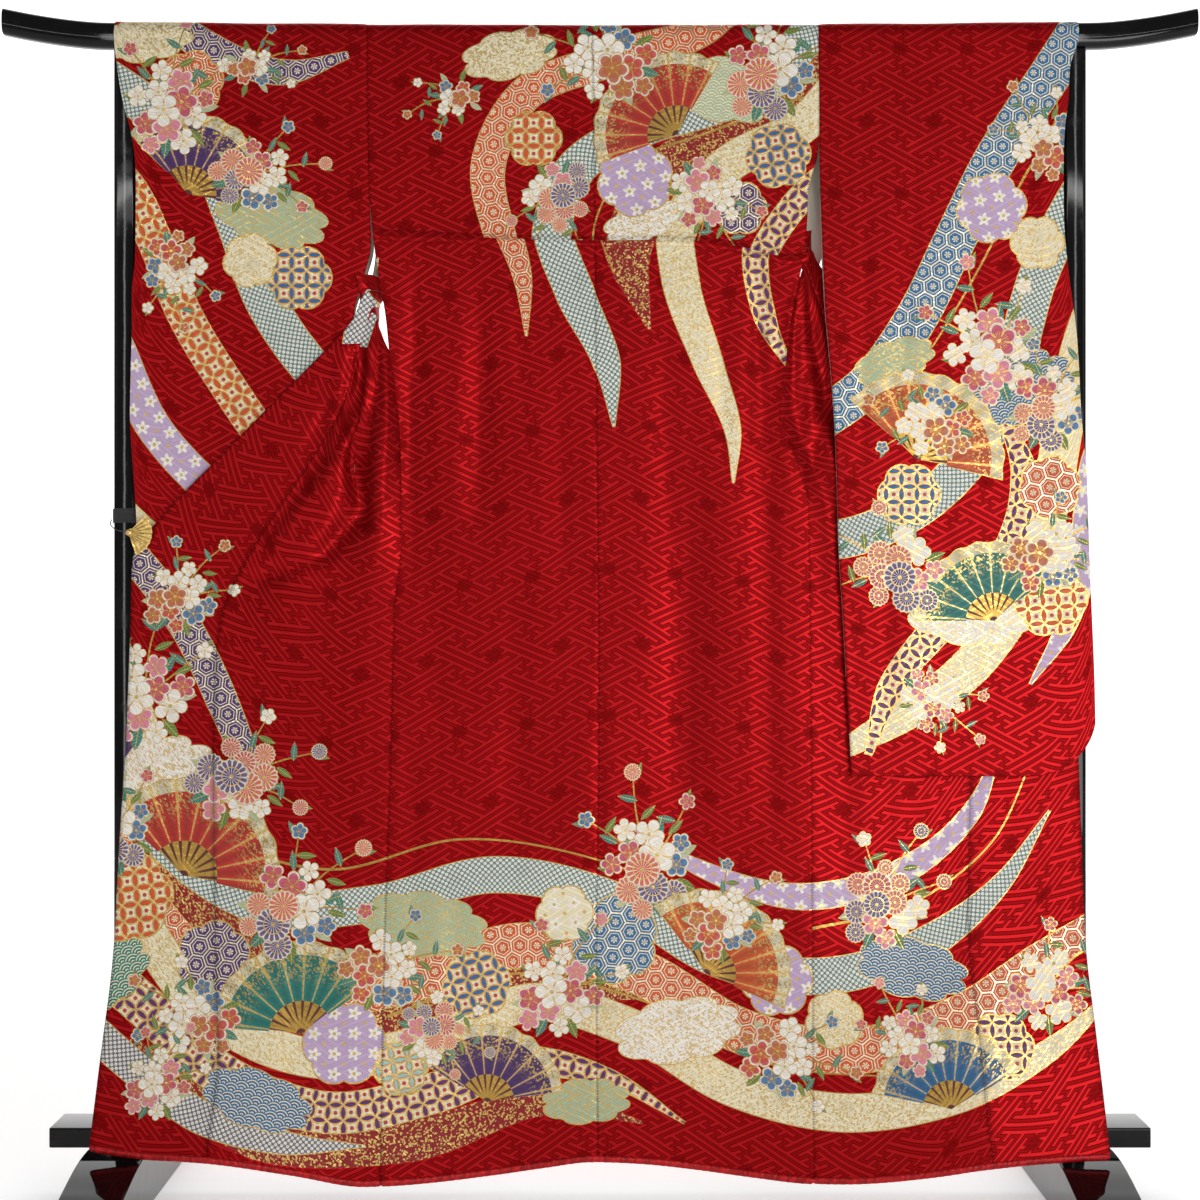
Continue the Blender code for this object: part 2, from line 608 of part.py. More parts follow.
# Clip at the left pole
PIVOT = (-672.0, 956.0)
FAN_REACH = 34.0
FAN_RIBS = 9
FAN_ANGLES = (-72.0, 45.0)
FAN_Y = -35.0
PIN_RADIUS = 4.7
JAW_Y = -17.5
JAW_HALF_THICKNESS = 0.6
CORD_BAND = (969.0, 992.0)
CORD_BAND_THICKNESS = 2.0


def build_clip(brass, cord):
    """An open fan and a jaw behind the cloth on one pin, and the cord that ties them to the pole."""
    ribs = 2 * FAN_RIBS + 1
    angle = np.radians(np.linspace(*FAN_ANGLES, ribs))
    reach = np.array([PIN_RADIUS + SEAT_GAP, 20.0, FAN_REACH])
    grid = np.zeros((3, ribs, 3))
    grid[:, :, 0] = PIVOT[0] + reach[:, None] * np.cos(angle)
    grid[:, :, 2] = PIVOT[1] + reach[:, None] * np.sin(angle)
    grid[:, :, 1] = FAN_Y - 0.7 * (np.arange(ribs) % 2)
    fan = Cloth(turned=True)
    fan.stitch("clip_fan", fan.add(grid))
    fan.wall("clip_fan", brass, thickness=1.4)
    round_part = np.radians(np.arange(90, 271, 20))
    outline = [(6 * math.cos(a), 6 * math.sin(a)) for a in round_part] + [(26.0, -5.0), (26.0, 5.0)]
    prism("clip_jaw", np.array(outline) + PIVOT, JAW_HALF_THICKNESS, (0, JAW_Y, 0), "y", brass)
    front = FAN_Y - 2.4
    back = JAW_Y - JAW_HALF_THICKNESS - SEAT_GAP
    turns = np.arange(16) / 16 * 2 * math.pi
    ring = np.stack([np.cos(turns), np.sin(turns)], axis=1) * PIN_RADIUS
    prism("clip_pin", ring + PIVOT, (back - front) / 2, (0, (front + back) / 2, 0), "y", brass)
    grown = [SEAT_GAP, SEAT_GAP + CORD_BAND_THICKNESS]
    inside, outside = (
        rounded_rectangle(POLE_WIDTH + 2 * more, POLE_DEPTH + 2 * more, POLE_CORNER + more)
        for more in grown
    )
    points = []
    for outline, height in ((outside, 0), (outside, 1), (inside, 1), (inside, 0)):
        points += [(-POLE_X + x, y, CORD_BAND[height]) for x, y in outline]
    count = len(outside)
    numbers = np.arange(4 * count).reshape(4, count)
    closed = np.vstack([numbers, numbers[:1]])
    closed = np.hstack([closed, closed[:, :1]])
    band = [closed[:-1, :-1], closed[:-1, 1:], closed[1:, 1:], closed[1:, :-1]]
    faces = np.stack([part.ravel() for part in band], axis=1)
    add_mesh("cord_band", points, faces.tolist(), cord)
    route = [
        (-701.5, -9, 975), (-702, -16, 970), (-698, -21, 964), (-691, -24, 960), (-683, -26, 958),
        (-677.3, -27, 957.5),
    ]
    line = bpy.data.curves.new("cord_loop", "CURVE")
    line.dimensions = "3D"
    line.bevel_depth = 0.8 * MM
    line.bevel_resolution = 2
    line.use_fill_caps = True
    strand = line.splines.new("POLY")
    smooth = spline(np.arange(len(route)), np.array(route, float), np.linspace(0, len(route) - 1, 14))
    strand.points.add(len(smooth) - 1)
    for point, place in zip(strand.points, smooth):
        point.co = (*(place * MM), 1.0)
    line.materials.append(cord)
    bpy.context.scene.collection.objects.link(bpy.data.objects.new("cord_loop", line))


clear_scene()
lacquer = finish("black_lacquer", (0.012, 0.011, 0.012), 0.08)
silk = finish("red_silk", (0.42, 0.006, 0.012), 0.42)
satin = finish("red_satin", (0.45, 0.008, 0.012), 0.3)
brass = finish("gilt_brass", (0.75, 0.55, 0.16), 0.28, 1.0)
cord = finish("black_cord", (0.02, 0.02, 0.022), 0.7)

build_rack(lacquer)

front_left = front_sections("left", FREE_LEFT, SEWN_LEFT, SIDE_LEFT)
front_right = front_sections("right", FREE_RIGHT, SEWN_RIGHT, SIDE_RIGHT)
back_left, *left = build_body("left", SIDE_LEFT, front_left, silk)
back_right, *right = build_body("right", SIDE_RIGHT, front_right, silk)
build_sleeve("left", SLEEVE_LEFT, SIDE_LEFT, silk)
build_sleeve("right", SLEEVE_RIGHT, SIDE_RIGHT, silk)
build_collar({"left": left, "right": right}, silk)

build_roll("hem_left", left[0][-1, ::-1], satin)
build_roll("hem_back", np.vstack([back_left, back_right[::-1]]), satin)
build_roll("hem_right", right[0][-1], satin)

build_clip(brass, cord)
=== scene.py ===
"""Looks of a furisode kimono hung, back outwards, over a lacquered rack.

Metres, +Z up. +X is to the right of someone who faces the kimono's back, which faces -Y.
Left and right are those of that viewer. Tables, and arrays of cloth points, are in millimetres.
"""

import math

import bpy
import numpy as np
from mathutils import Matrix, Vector
from mathutils.geometry import delaunay_2d_cdt


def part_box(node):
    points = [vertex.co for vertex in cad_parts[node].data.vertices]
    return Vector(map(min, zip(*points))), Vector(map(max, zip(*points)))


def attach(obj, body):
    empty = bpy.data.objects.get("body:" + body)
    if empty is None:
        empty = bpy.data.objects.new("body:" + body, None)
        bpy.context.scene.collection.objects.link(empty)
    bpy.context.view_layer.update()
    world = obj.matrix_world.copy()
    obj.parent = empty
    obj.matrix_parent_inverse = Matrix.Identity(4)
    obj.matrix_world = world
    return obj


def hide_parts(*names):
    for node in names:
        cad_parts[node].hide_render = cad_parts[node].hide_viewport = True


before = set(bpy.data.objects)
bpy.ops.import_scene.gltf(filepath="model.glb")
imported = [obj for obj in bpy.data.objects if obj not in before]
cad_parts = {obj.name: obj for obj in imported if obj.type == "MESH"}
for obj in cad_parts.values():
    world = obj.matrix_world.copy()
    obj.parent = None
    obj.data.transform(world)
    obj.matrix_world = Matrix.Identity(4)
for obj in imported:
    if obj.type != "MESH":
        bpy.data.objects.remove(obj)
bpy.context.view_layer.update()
MM = 0.001


# The room: a pale sweep of floor and wall, wide soft lights and the camera.
# The camera stands level, 3.5 m from the rail, with its view 1.728 m across there.
CAMERA_DISTANCE = 3.5
CAMERA_HEIGHT = 0.8596
VIEW_WIDTH = 1.728
SENSOR_WIDTH = 36
SWEEP_REACH = 7.0
SWEEP_END = 4.2
SWEEP_RADIUS = 1.2
WALL_TOP = 8.0
FLOOR_GLOW, WALL_GLOW = 0.35, 0.95
LAMP_COLOUR = (1.0, 0.99, 0.98)
ROOM_LIGHT = 0.24

profile = [(-SWEEP_REACH, 0.0), (SWEEP_END, 0.0)]
for angle in np.linspace(0.1, math.pi / 2, 14):
    back, up = SWEEP_RADIUS * math.sin(angle), SWEEP_RADIUS * (1 - math.cos(angle))
    profile.append((SWEEP_END + back, up))
profile.append((SWEEP_END + SWEEP_RADIUS, WALL_TOP))
sweep = bpy.data.meshes.new("floor")
sweep_points = [(side * SWEEP_REACH, y, z) for side in (-1, 1) for y, z in profile]
steps = len(profile)
sweep.from_pydata(sweep_points, [], [(k, steps + k, steps + k + 1, k + 1) for k in range(steps - 1)])
sweep.shade_smooth()
for name, glow in (("pale_floor", FLOOR_GLOW), ("pale_wall", WALL_GLOW)):
    paper = bpy.data.materials.new(name)
    paper.use_nodes = True
    coat = paper.node_tree.nodes["Principled BSDF"].inputs
    coat["Base Color"].default_value = (0.97, 0.97, 0.97, 1)
    coat["Roughness"].default_value = 0.9
    coat["Emission Color"].default_value = (1, 1, 1, 1)
    coat["Emission Strength"].default_value = glow
    sweep.materials.append(paper)
for face in sweep.polygons[1:]:
    face.material_index = 1
floor = bpy.data.objects.new("floor", sweep)
bpy.context.scene.collection.objects.link(floor)

# name, place, what it faces, size, power
LAMPS = [
    ("key", (1.15, -3.0, 0.8), (0.1, 0, 0.8), (1.1, 1.1), 31),
    ("left", (-2.6, -2.6, 1.8), (0, 0, 0.5), (1.2, 1.2), 3),
    ("right", (2.6, -2.4, 1.4), (0, 0, 0.8), (1.0, 1.6), 9),
    ("rail_strip", (0.0, -3.2, 1.98), (0, 0, 1.66), (4.4, 0.05), 10),
    ("pole_strip_left", (-1.33, -3.3, 1.0), (-0.68, 0, 1.0), (0.08, 2.8), 7),
    ("pole_strip_right", (1.33, -3.3, 1.0), (0.68, 0, 1.0), (0.08, 2.8), 7),
    ("top", (0.0, 1.2, 3.4), (0, 0, 0.9), (3.4, 1.2), 24),
]
for name, place, faced, size, power in LAMPS:
    light = bpy.data.lights.new(name, "AREA")
    light.shape = "RECTANGLE"
    light.size, light.size_y = size
    light.energy = power
    light.color = LAMP_COLOUR
    lamp = bpy.data.objects.new(name, light)
    lamp.location = place
    lamp.rotation_euler = (Vector(faced) - Vector(place)).to_track_quat("-Z", "Y").to_euler()
    bpy.context.scene.collection.objects.link(lamp)

room_light = bpy.data.worlds.new("studio")
room_light.use_nodes = True
air = room_light.node_tree.nodes["Background"].inputs
air["Color"].default_value = (1, 1, 1, 1)
air["Strength"].default_value = ROOM_LIGHT
bpy.context.scene.world = room_light
bpy.context.scene.view_settings.view_transform = "Standard"

camera_data = bpy.data.cameras.new("camera")
camera_data.sensor_width = SENSOR_WIDTH
camera_data.lens = SENSOR_WIDTH * CAMERA_DISTANCE / VIEW_WIDTH
camera = bpy.data.objects.new("camera", camera_data)
camera.location = (0, -CAMERA_DISTANCE, CAMERA_HEIGHT)
camera.rotation_euler = (math.pi / 2, 0, 0)
bpy.context.scene.collection.objects.link(camera)
bpy.context.scene.camera = camera


# The rack: a rail with turned up ends, two poles, a base plank and two feet, of wood under
# many coats of black lacquer rubbed to a gloss. The poles are let into the plank and carry
# the rail, and the plank lies on the feet.
# Angles in degrees from which an edge stays sharp, and from which it is rounded.
SHARP_FROM = 40
BEVEL_FROM = 50


class Shade:
    """A socket of a material. Arithmetic on it adds Math nodes, and node() adds any other."""

    def __init__(self, tree, socket=None):
        self.tree = tree
        self.socket = socket

    def node(self, kind, settings, inputs, output=0):
        """Adds a node, with its settings first and then its sockets' values or links."""
        made = self.tree.nodes.new("ShaderNode" + kind)
        for name, value in settings.items():
            if name == "stops":
                ramp = made.color_ramp.elements
                while len(ramp) < len(value):
                    ramp.new(0.5)
                for stop, (place, colour) in zip(ramp, value):
                    stop.position = place
                    stop.color = (*colour, 1)
            else:
                setattr(made, name, value)
        for name, value in inputs.items():
            if isinstance(value, Shade):
                self.tree.links.new(value.socket, made.inputs[name])
            else:
                made.inputs[name].default_value = value
        return Shade(self.tree, made.outputs[output])

    def math(self, operation, *others):
        """A Math node on this value and others."""
        values = dict(enumerate((self, *others)))
        return self.node("Math", {"operation": operation}, values)

    def __add__(self, other):
        return self.math("ADD", other)

    __radd__ = __add__

    def __sub__(self, other):
        return self.math("SUBTRACT", other)

    def __rsub__(self, other):
        return (self * -1) + other

    def __mul__(self, other):
        return self.math("MULTIPLY", other)

    __rmul__ = __mul__

    def __truediv__(self, other):
        return self.math("DIVIDE", other)

    def least(self, other):
        return self.math("MINIMUM", other)

    def most(self, other):
        return self.math("MAXIMUM", other)

    def size(self):
        return self.math("ABSOLUTE")

    def far(self, other):
        """Distance from zero of the point with this and another value as its coordinates."""
        return (self * self + other * other).math("SQRT")

    def centred(self, period=1.0):
        """Place within a repeat, from -0.5 to 0.5 of it."""
        return (self / period).math("FRACT") - 0.5

    def wave(self, turns):
        """Cosine of this angle times a number of turns."""
        return (self * turns).math("COSINE")

    def below(self, high, low=None):
        """1 below low, 0 above high and smooth between."""
        return 1 - self.step(high * 0.88 if low is None else low, high)

    def step(self, low, high):
        """0 below low, 1 above high and smooth between."""
        ends = {"From Min": low, "From Max": high}
        return self.node("MapRange", {"interpolation_type": "SMOOTHSTEP"}, {"Value": self, **ends})

    def mix(self, first, second):
        """The first colour where this mask is 0 and the second where it is 1."""
        colours = {6: first, 7: second}
        for place, colour in colours.items():
            if isinstance(colour, tuple):
                colours[place] = (*colour, 1)
        return self.node("Mix", {"data_type": "RGBA"}, {"Factor": self, **colours}, 2)

    def times(self, share):
        """This colour, darker or lighter by a share."""
        return self.node("VectorMath", {"operation": "SCALE"}, {0: self, "Scale": share})

    def split(self, part):
        return self.node("SeparateXYZ", {}, {"Vector": self}, part)

    def turn(self, across):
        """Angle of the point with another value and this one as its coordinates."""
        return self.math("ARCTAN2", across)

    def place(self):
        """The place on the piece, in metres."""
        return self.node("TexCoord", {}, {}, 3)

    def layer(self, name):
        """The flat coordinates that a piece keeps under a name."""
        return self.node("UVMap", {"uv_map": name}, {})

    def noise(self, place, scale, detail=2.0):
        """Cloudy values about 0.5, in spots of about one metre divided by the scale."""
        return self.node("TexNoise", {}, {"Vector": place, "Scale": scale, "Detail": detail})


def finish(name, paint, **constants):
    """A Principled material. paint(start) returns the sockets that vary, by name."""
    made = bpy.data.materials.new(name)
    made.use_nodes = True
    tree = made.node_tree
    shader = tree.nodes["Principled BSDF"]
    for socket, value in constants.items():
        shader.inputs[socket.replace("_", " ")].default_value = value
    for socket, value in paint(Shade(tree)).items():
        tree.links.new(value.socket, shader.inputs[socket])
    return made


def bump(start, height, strength):
    """A normal tilted by a height in metres."""
    return start.node("Bump", {}, {"Height": height, "Strength": strength, "Distance": 1.0})


def fitted(name, mesh, node):
    """The finished piece of a mesh, riding on the rack and standing for its node."""
    made = bpy.data.objects.new(name, mesh)
    bpy.context.scene.collection.objects.link(made)
    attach(made, "root")
    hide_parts(node)
    return made


def put(name, points, faces, material, node, smooth=True):
    """A finished piece from points in millimetres and faces of one material."""
    mesh = bpy.data.meshes.new(name)
    mesh.from_pydata((np.asarray(points, float) * MM).tolist(), [], [list(face) for face in faces])
    mesh.materials.append(material)
    if smooth:
        mesh.shade_smooth()
        mesh.set_sharp_from_angle(angle=math.radians(SHARP_FROM))
    return fitted(name, mesh, node)


def quads(numbers):
    """Faces with four corners each, between neighbours in a grid of point numbers."""
    corners = [numbers[:-1, :-1], numbers[:-1, 1:], numbers[1:, 1:], numbers[1:, :-1]]
    return np.stack([part.ravel() for part in corners], axis=1)


def tube(name, rings, material, node, smooth=True):
    """A piece through rings of points that follow a path, closed at both ends."""
    numbers = np.arange(rings[..., 0].size).reshape(rings.shape[:2])
    faces = quads(np.hstack([numbers, numbers[:, :1]])).tolist()
    faces += [numbers[0].tolist()[::-1], numbers[-1].tolist()]
    return put(name, rings.reshape(-1, 3), faces, material, node, smooth)


def circle(sides):
    """Even angles round a circle."""
    return np.arange(sides) / sides * 2 * math.pi


def soften(piece, width, segments=3):
    """Rounds a piece's sharp edges."""
    bevel = piece.modifiers.new("rounded_edges", "BEVEL")
    bevel.width = width * MM
    bevel.segments = segments
    bevel.limit_method = "ANGLE"
    bevel.angle_limit = math.radians(BEVEL_FROM)
    bevel.harden_normals = True


def lacquered(start):
    """Black gloss with the faint waves and specks of a hand-rubbed coat."""
    place = start.place()
    waves = start.noise(place, 9.0)
    dust = start.noise(place, 420.0, 1.0)
    worn = start.noise(place, 38.0, 4.0).step(0.5, 0.8)
    return {
        "Base Color": worn.mix((0.004, 0.0038, 0.004), (0.009, 0.0075, 0.008)),
        "Roughness": 0.05 + worn * 0.05 + dust.step(0.66, 0.74) * 0.04,
        "Normal": bump(start, waves * 0.002 + dust * 0.00002, 0.25),
    }


lacquer = finish("black_lacquer", lacquered, Specular_IOR_Level=0.2)

RAIL_HALF_LENGTH = 858.0
RAIL_HALF_HEIGHT = 19.0
RAIL_HALF_DEPTH = 18.0
RAIL_Z = 1665.5
RAIL_BOW = 8.0
RAIL_STRAIGHT = 712.0
RAIL_RISE = 18.0
RAIL_CORNER = 3.0
RAIL_STATIONS = 181
RAIL_SIDES = 64


def rail_bow(x):
    """How far the rail's axis lies above its middle at x: it grows with the square of x."""
    return RAIL_BOW * (x / RAIL_HALF_LENGTH) ** 2


def rail_section(turns, grow=0.0):
    """(y, z) about the rail's axis at each share of a turn: a superellipse of power 3, grown outwards."""
    angle = np.asarray(turns, float) * 2 * math.pi
    power = 2.0 / RAIL_CORNER
    y = np.sign(np.cos(angle)) * np.abs(np.cos(angle)) ** power * (RAIL_HALF_DEPTH + grow)
    z = np.sign(np.sin(angle)) * np.abs(np.sin(angle)) ** power * (RAIL_HALF_HEIGHT + grow)
    return y, z


# The ends turn up with a power of their way past the straight part, and the section stays the same.
stations = np.linspace(-RAIL_HALF_LENGTH, RAIL_HALF_LENGTH, RAIL_STATIONS)
past = np.clip((np.abs(stations) - RAIL_STRAIGHT) / (RAIL_HALF_LENGTH - RAIL_STRAIGHT), 0, 1)
lift = RAIL_RISE * past**1.6 + rail_bow(stations)
round_y, round_z = rail_section((np.arange(RAIL_SIDES) + 0.5) / RAIL_SIDES)
rings = np.zeros((RAIL_STATIONS, RAIL_SIDES, 3))
rings[:, :, 0] = stations[:, None]
rings[:, :, 1] = round_y
rings[:, :, 2] = RAIL_Z + round_z + lift[:, None]
soften(tube("rail", rings, lacquer, "top_rail"), 1.2)


def rounded_box(name, node, corner, along, steps=8):
    """A node's box again in lacquer: a prism along one axis, its four corners quarter circles."""
    low, high = (np.array(value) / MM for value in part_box(node))
    middle, half = (low + high) / 2, (high - low) / 2
    first, second = (k for k in range(3) if k != along)
    quarter = np.repeat(np.arange(4) * math.pi / 2, steps + 1)
    angle = quarter + math.pi / 4
    turn = quarter + np.tile(np.linspace(0, math.pi / 2, steps + 1), 4)
    ring = np.zeros((len(turn), 3))
    for axis, wave in ((first, np.cos), (second, np.sin)):
        ring[:, axis] = middle[axis] + np.sign(wave(angle)) * (half[axis] - corner) + corner * wave(turn)
    ends = np.stack([ring, ring])
    ends[0, :, along] = low[along]
    ends[1, :, along] = high[along]
    return tube(name, ends, lacquer, node)


POLE_CORNER = 6.0
PLANK_CORNER = 3.0
for side in ("left", "right"):
    soften(rounded_box("upright_" + side, "pole_" + side, POLE_CORNER, 2), 0.8)
soften(rounded_box("plank", "base_plank", PLANK_CORNER, 0), 1.2)


def travelled(line):
    """The distance along a line of points, at each point."""
    return np.concatenate([[0], np.cumsum(np.linalg.norm(np.diff(line, axis=0), axis=1))])


def curve(keys, values, slopes, at):
    """Cubics between the values at the keys, with the slope given at each key."""
    index = np.clip(np.searchsorted(keys, at, side="right") - 1, 0, len(keys) - 2)
    span = (keys[index + 1] - keys[index])[..., None]
    t = (at[..., None] - keys[index][..., None]) / span
    start = (1 + 2 * t) * (1 - t) ** 2 * values[index] + t * (1 - t) ** 2 * span * slopes[index]
    return start + t**2 * (3 - 2 * t) * values[index + 1] + t**2 * (t - 1) * span * slopes[index + 1]


def spline(keys, values, at):
    """The curve through the values at the rising keys, with slopes held back so it never overshoots."""
    keys = np.asarray(keys, float)
    values = np.asarray(values, float)
    flat = values.ndim == 1
    if flat:
        values = values[:, None]
    at = np.clip(np.asarray(at, float), keys[0], keys[-1])
    rise = np.diff(values, axis=0) / np.diff(keys)[:, None]
    slopes = np.concatenate([rise[:1], (rise[:-1] + rise[1:]) / 2, rise[-1:]])
    limit = 3 * np.minimum(np.abs(rise[:-1]), np.abs(rise[1:])) * (rise[:-1] * rise[1:] > 0)
    slopes[1:-1] = np.clip(slopes[1:-1], -limit, limit)
    found = curve(keys, values, slopes, at)
    return found[..., 0] if flat else found


# y and height along one foot's back, from the plank out to the round toe.
FOOT_BACK = [
    (0, 81.2), (50.5, 81.2), (85, 80.8), (114, 79), (170, 71.8), (218, 62.8), (242, 58), (264, 51),
    (280, 39), (288.5, 22), (290, 0),
]
foot_keys = np.array(FOOT_BACK, float)
foot_way = travelled(foot_keys)
foot_half = spline(foot_way, foot_keys, np.linspace(0, foot_way[-1], 60))
foot_outline = np.vstack([foot_half[::-1] * (-1, 1), foot_half[1:]])
for side in ("left", "right"):
    low, high = (np.array(value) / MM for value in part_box("foot_" + side))
    ends = np.zeros((2, len(foot_outline), 3))
    ends[:, :, 0] = np.array([low[0], high[0]])[:, None]
    ends[:, :, 1:] = foot_outline[::-1]
    soften(tube("leg_" + side, ends, lacquer, "foot_" + side), 2.5, 4)


# The silk: figured satin in one width of about 38 cm. All pieces are straight lengths of it,
# lined and sewn by hand. The forms below are those in which the lengths hang on the rail.
RAIL_CLEARANCE = 1.4
ARC_STEPS = 8
EDGE_LAP = 2.0
NECK_Z = 1658.0
ROLL_HEIGHT = 10.0
ROLL_DEPTH = 6.0
HALF_CLOTH = 0.5
GRID_STEP = 7.0
BESIDE_EDGE = [1.5, 3.5, 6.0]

# The backs come forward by DRAPE over FALL millimetres from FALL_TOP down, and flare from the middle
# outwards and from FLARE_TOP down. The rail's bow is lost between the rail and BOW_LOST.
DRAPE, FALL_TOP, FALL = 42.0, 1661, 1600
FLARE = {"left": 64.0, "right": 78.0}
FLARE_FROM, FLARE_ACROSS, FLARE_TOP, FLARE_DOWN = 60, 580, 861, 800
BOW_LOST, BOW_OVER = 1361, 250

# Hem line: x and height of the lowest point of the cloth, roll included.
HEM_LINE = [
    (-735, 94), (-710, 91), (-649, 81), (-550, 74), (-430, 53), (-325, 34), (-266, 35), (-141, 46),
    (-80, 54), (-10, 62.5), (60, 60), (130, 53), (215, 44), (296, 38.5), (366, 41), (470, 55), (540, 68),
    (658, 80), (706, 82), (735, 83),
]
# Centre back seam: height and x.
CENTRE = [(1683, -11), (1145, -5), (718, -2), (323, -5), (1, -2)]
# Soft upright waves of the back: x, height, half width, half height, depth towards the rack.
BACK_WAVES = [
    (-172, 1131, 26, 160, 5), (-262, 1091, 22, 200, 6), (235, 1111, 20, 150, 6), (120, 861, 40, 260, 4),
]


def by_height(table, heights, column=1):
    """The value at each height of a table whose rows start with their heights and run downwards."""
    rows = np.array(table[::-1], float)
    return spline(rows[:, 0], rows[:, column], heights)


def unit(vectors):
    """Each vector at length one."""
    return vectors / np.maximum(np.linalg.norm(vectors, axis=-1, keepdims=True), 1e-9)


def back_depth(x, height, half):
    """y of the back: a straight fall from the rail past the plank, and flared where it meets the feet."""
    fall = np.clip((FALL_TOP - height) / FALL, 0, 1.02)
    out = np.clip((np.abs(x) - FLARE_FROM) / FLARE_ACROSS, 0, 1)
    low = np.clip((FLARE_TOP - height) / FLARE_DOWN, 0, 1.1)
    flare = FLARE[half] * out**2 * (3 - 2 * out) * low**1.6
    return -(RAIL_HALF_DEPTH + RAIL_CLEARANCE) - DRAPE * fall - flare


def hem_height(x):
    """Height of the hem line at x."""
    rows = np.array(HEM_LINE, float)
    return spline(rows[:, 0], rows[:, 1], x)


def over_rail(x_start, x_end):
    """Rows round the upper half of the rail's section, from past the near side to before the far side."""
    share = np.linspace(0, 1, ARC_STEPS + 1)[1:-1]
    y, z = rail_section(0.5 - share / 2, RAIL_CLEARANCE)
    grid = np.zeros((len(share), len(x_start), 3))
    grid[:, :, 0] = x_start * (1 - share[:, None]) + x_end * share[:, None]
    grid[:, :, 1] = y[:, None]
    grid[:, :, 2] = RAIL_Z + z[:, None]
    return grid


def raised(grid):
    """The grid, raised with the rail's bow near the rail."""
    grid = np.array(grid, float)
    grid[..., 2] += rail_bow(grid[..., 0]) * np.clip((grid[..., 2] - BOW_LOST) / BOW_OVER, 0, 1)
    return grid


def finer(keys, near):
    """Places between the keys a grid step apart or less, each key among them, and some near the ends."""
    steps = [max(1, math.ceil((b - a) / GRID_STEP)) for a, b in zip(keys[:-1], keys[1:])]
    parts = [np.linspace(a, b, count + 1) for a, b, count in zip(keys[:-1], keys[1:], steps)]
    near = np.array(near, float)
    places = np.concatenate(parts + [keys[0] + near, keys[-1] - near])
    places = np.unique(np.round(places, 3))
    keep = np.concatenate([[True], np.diff(places) > 0.6])
    keep[-1] = True
    return places[keep]


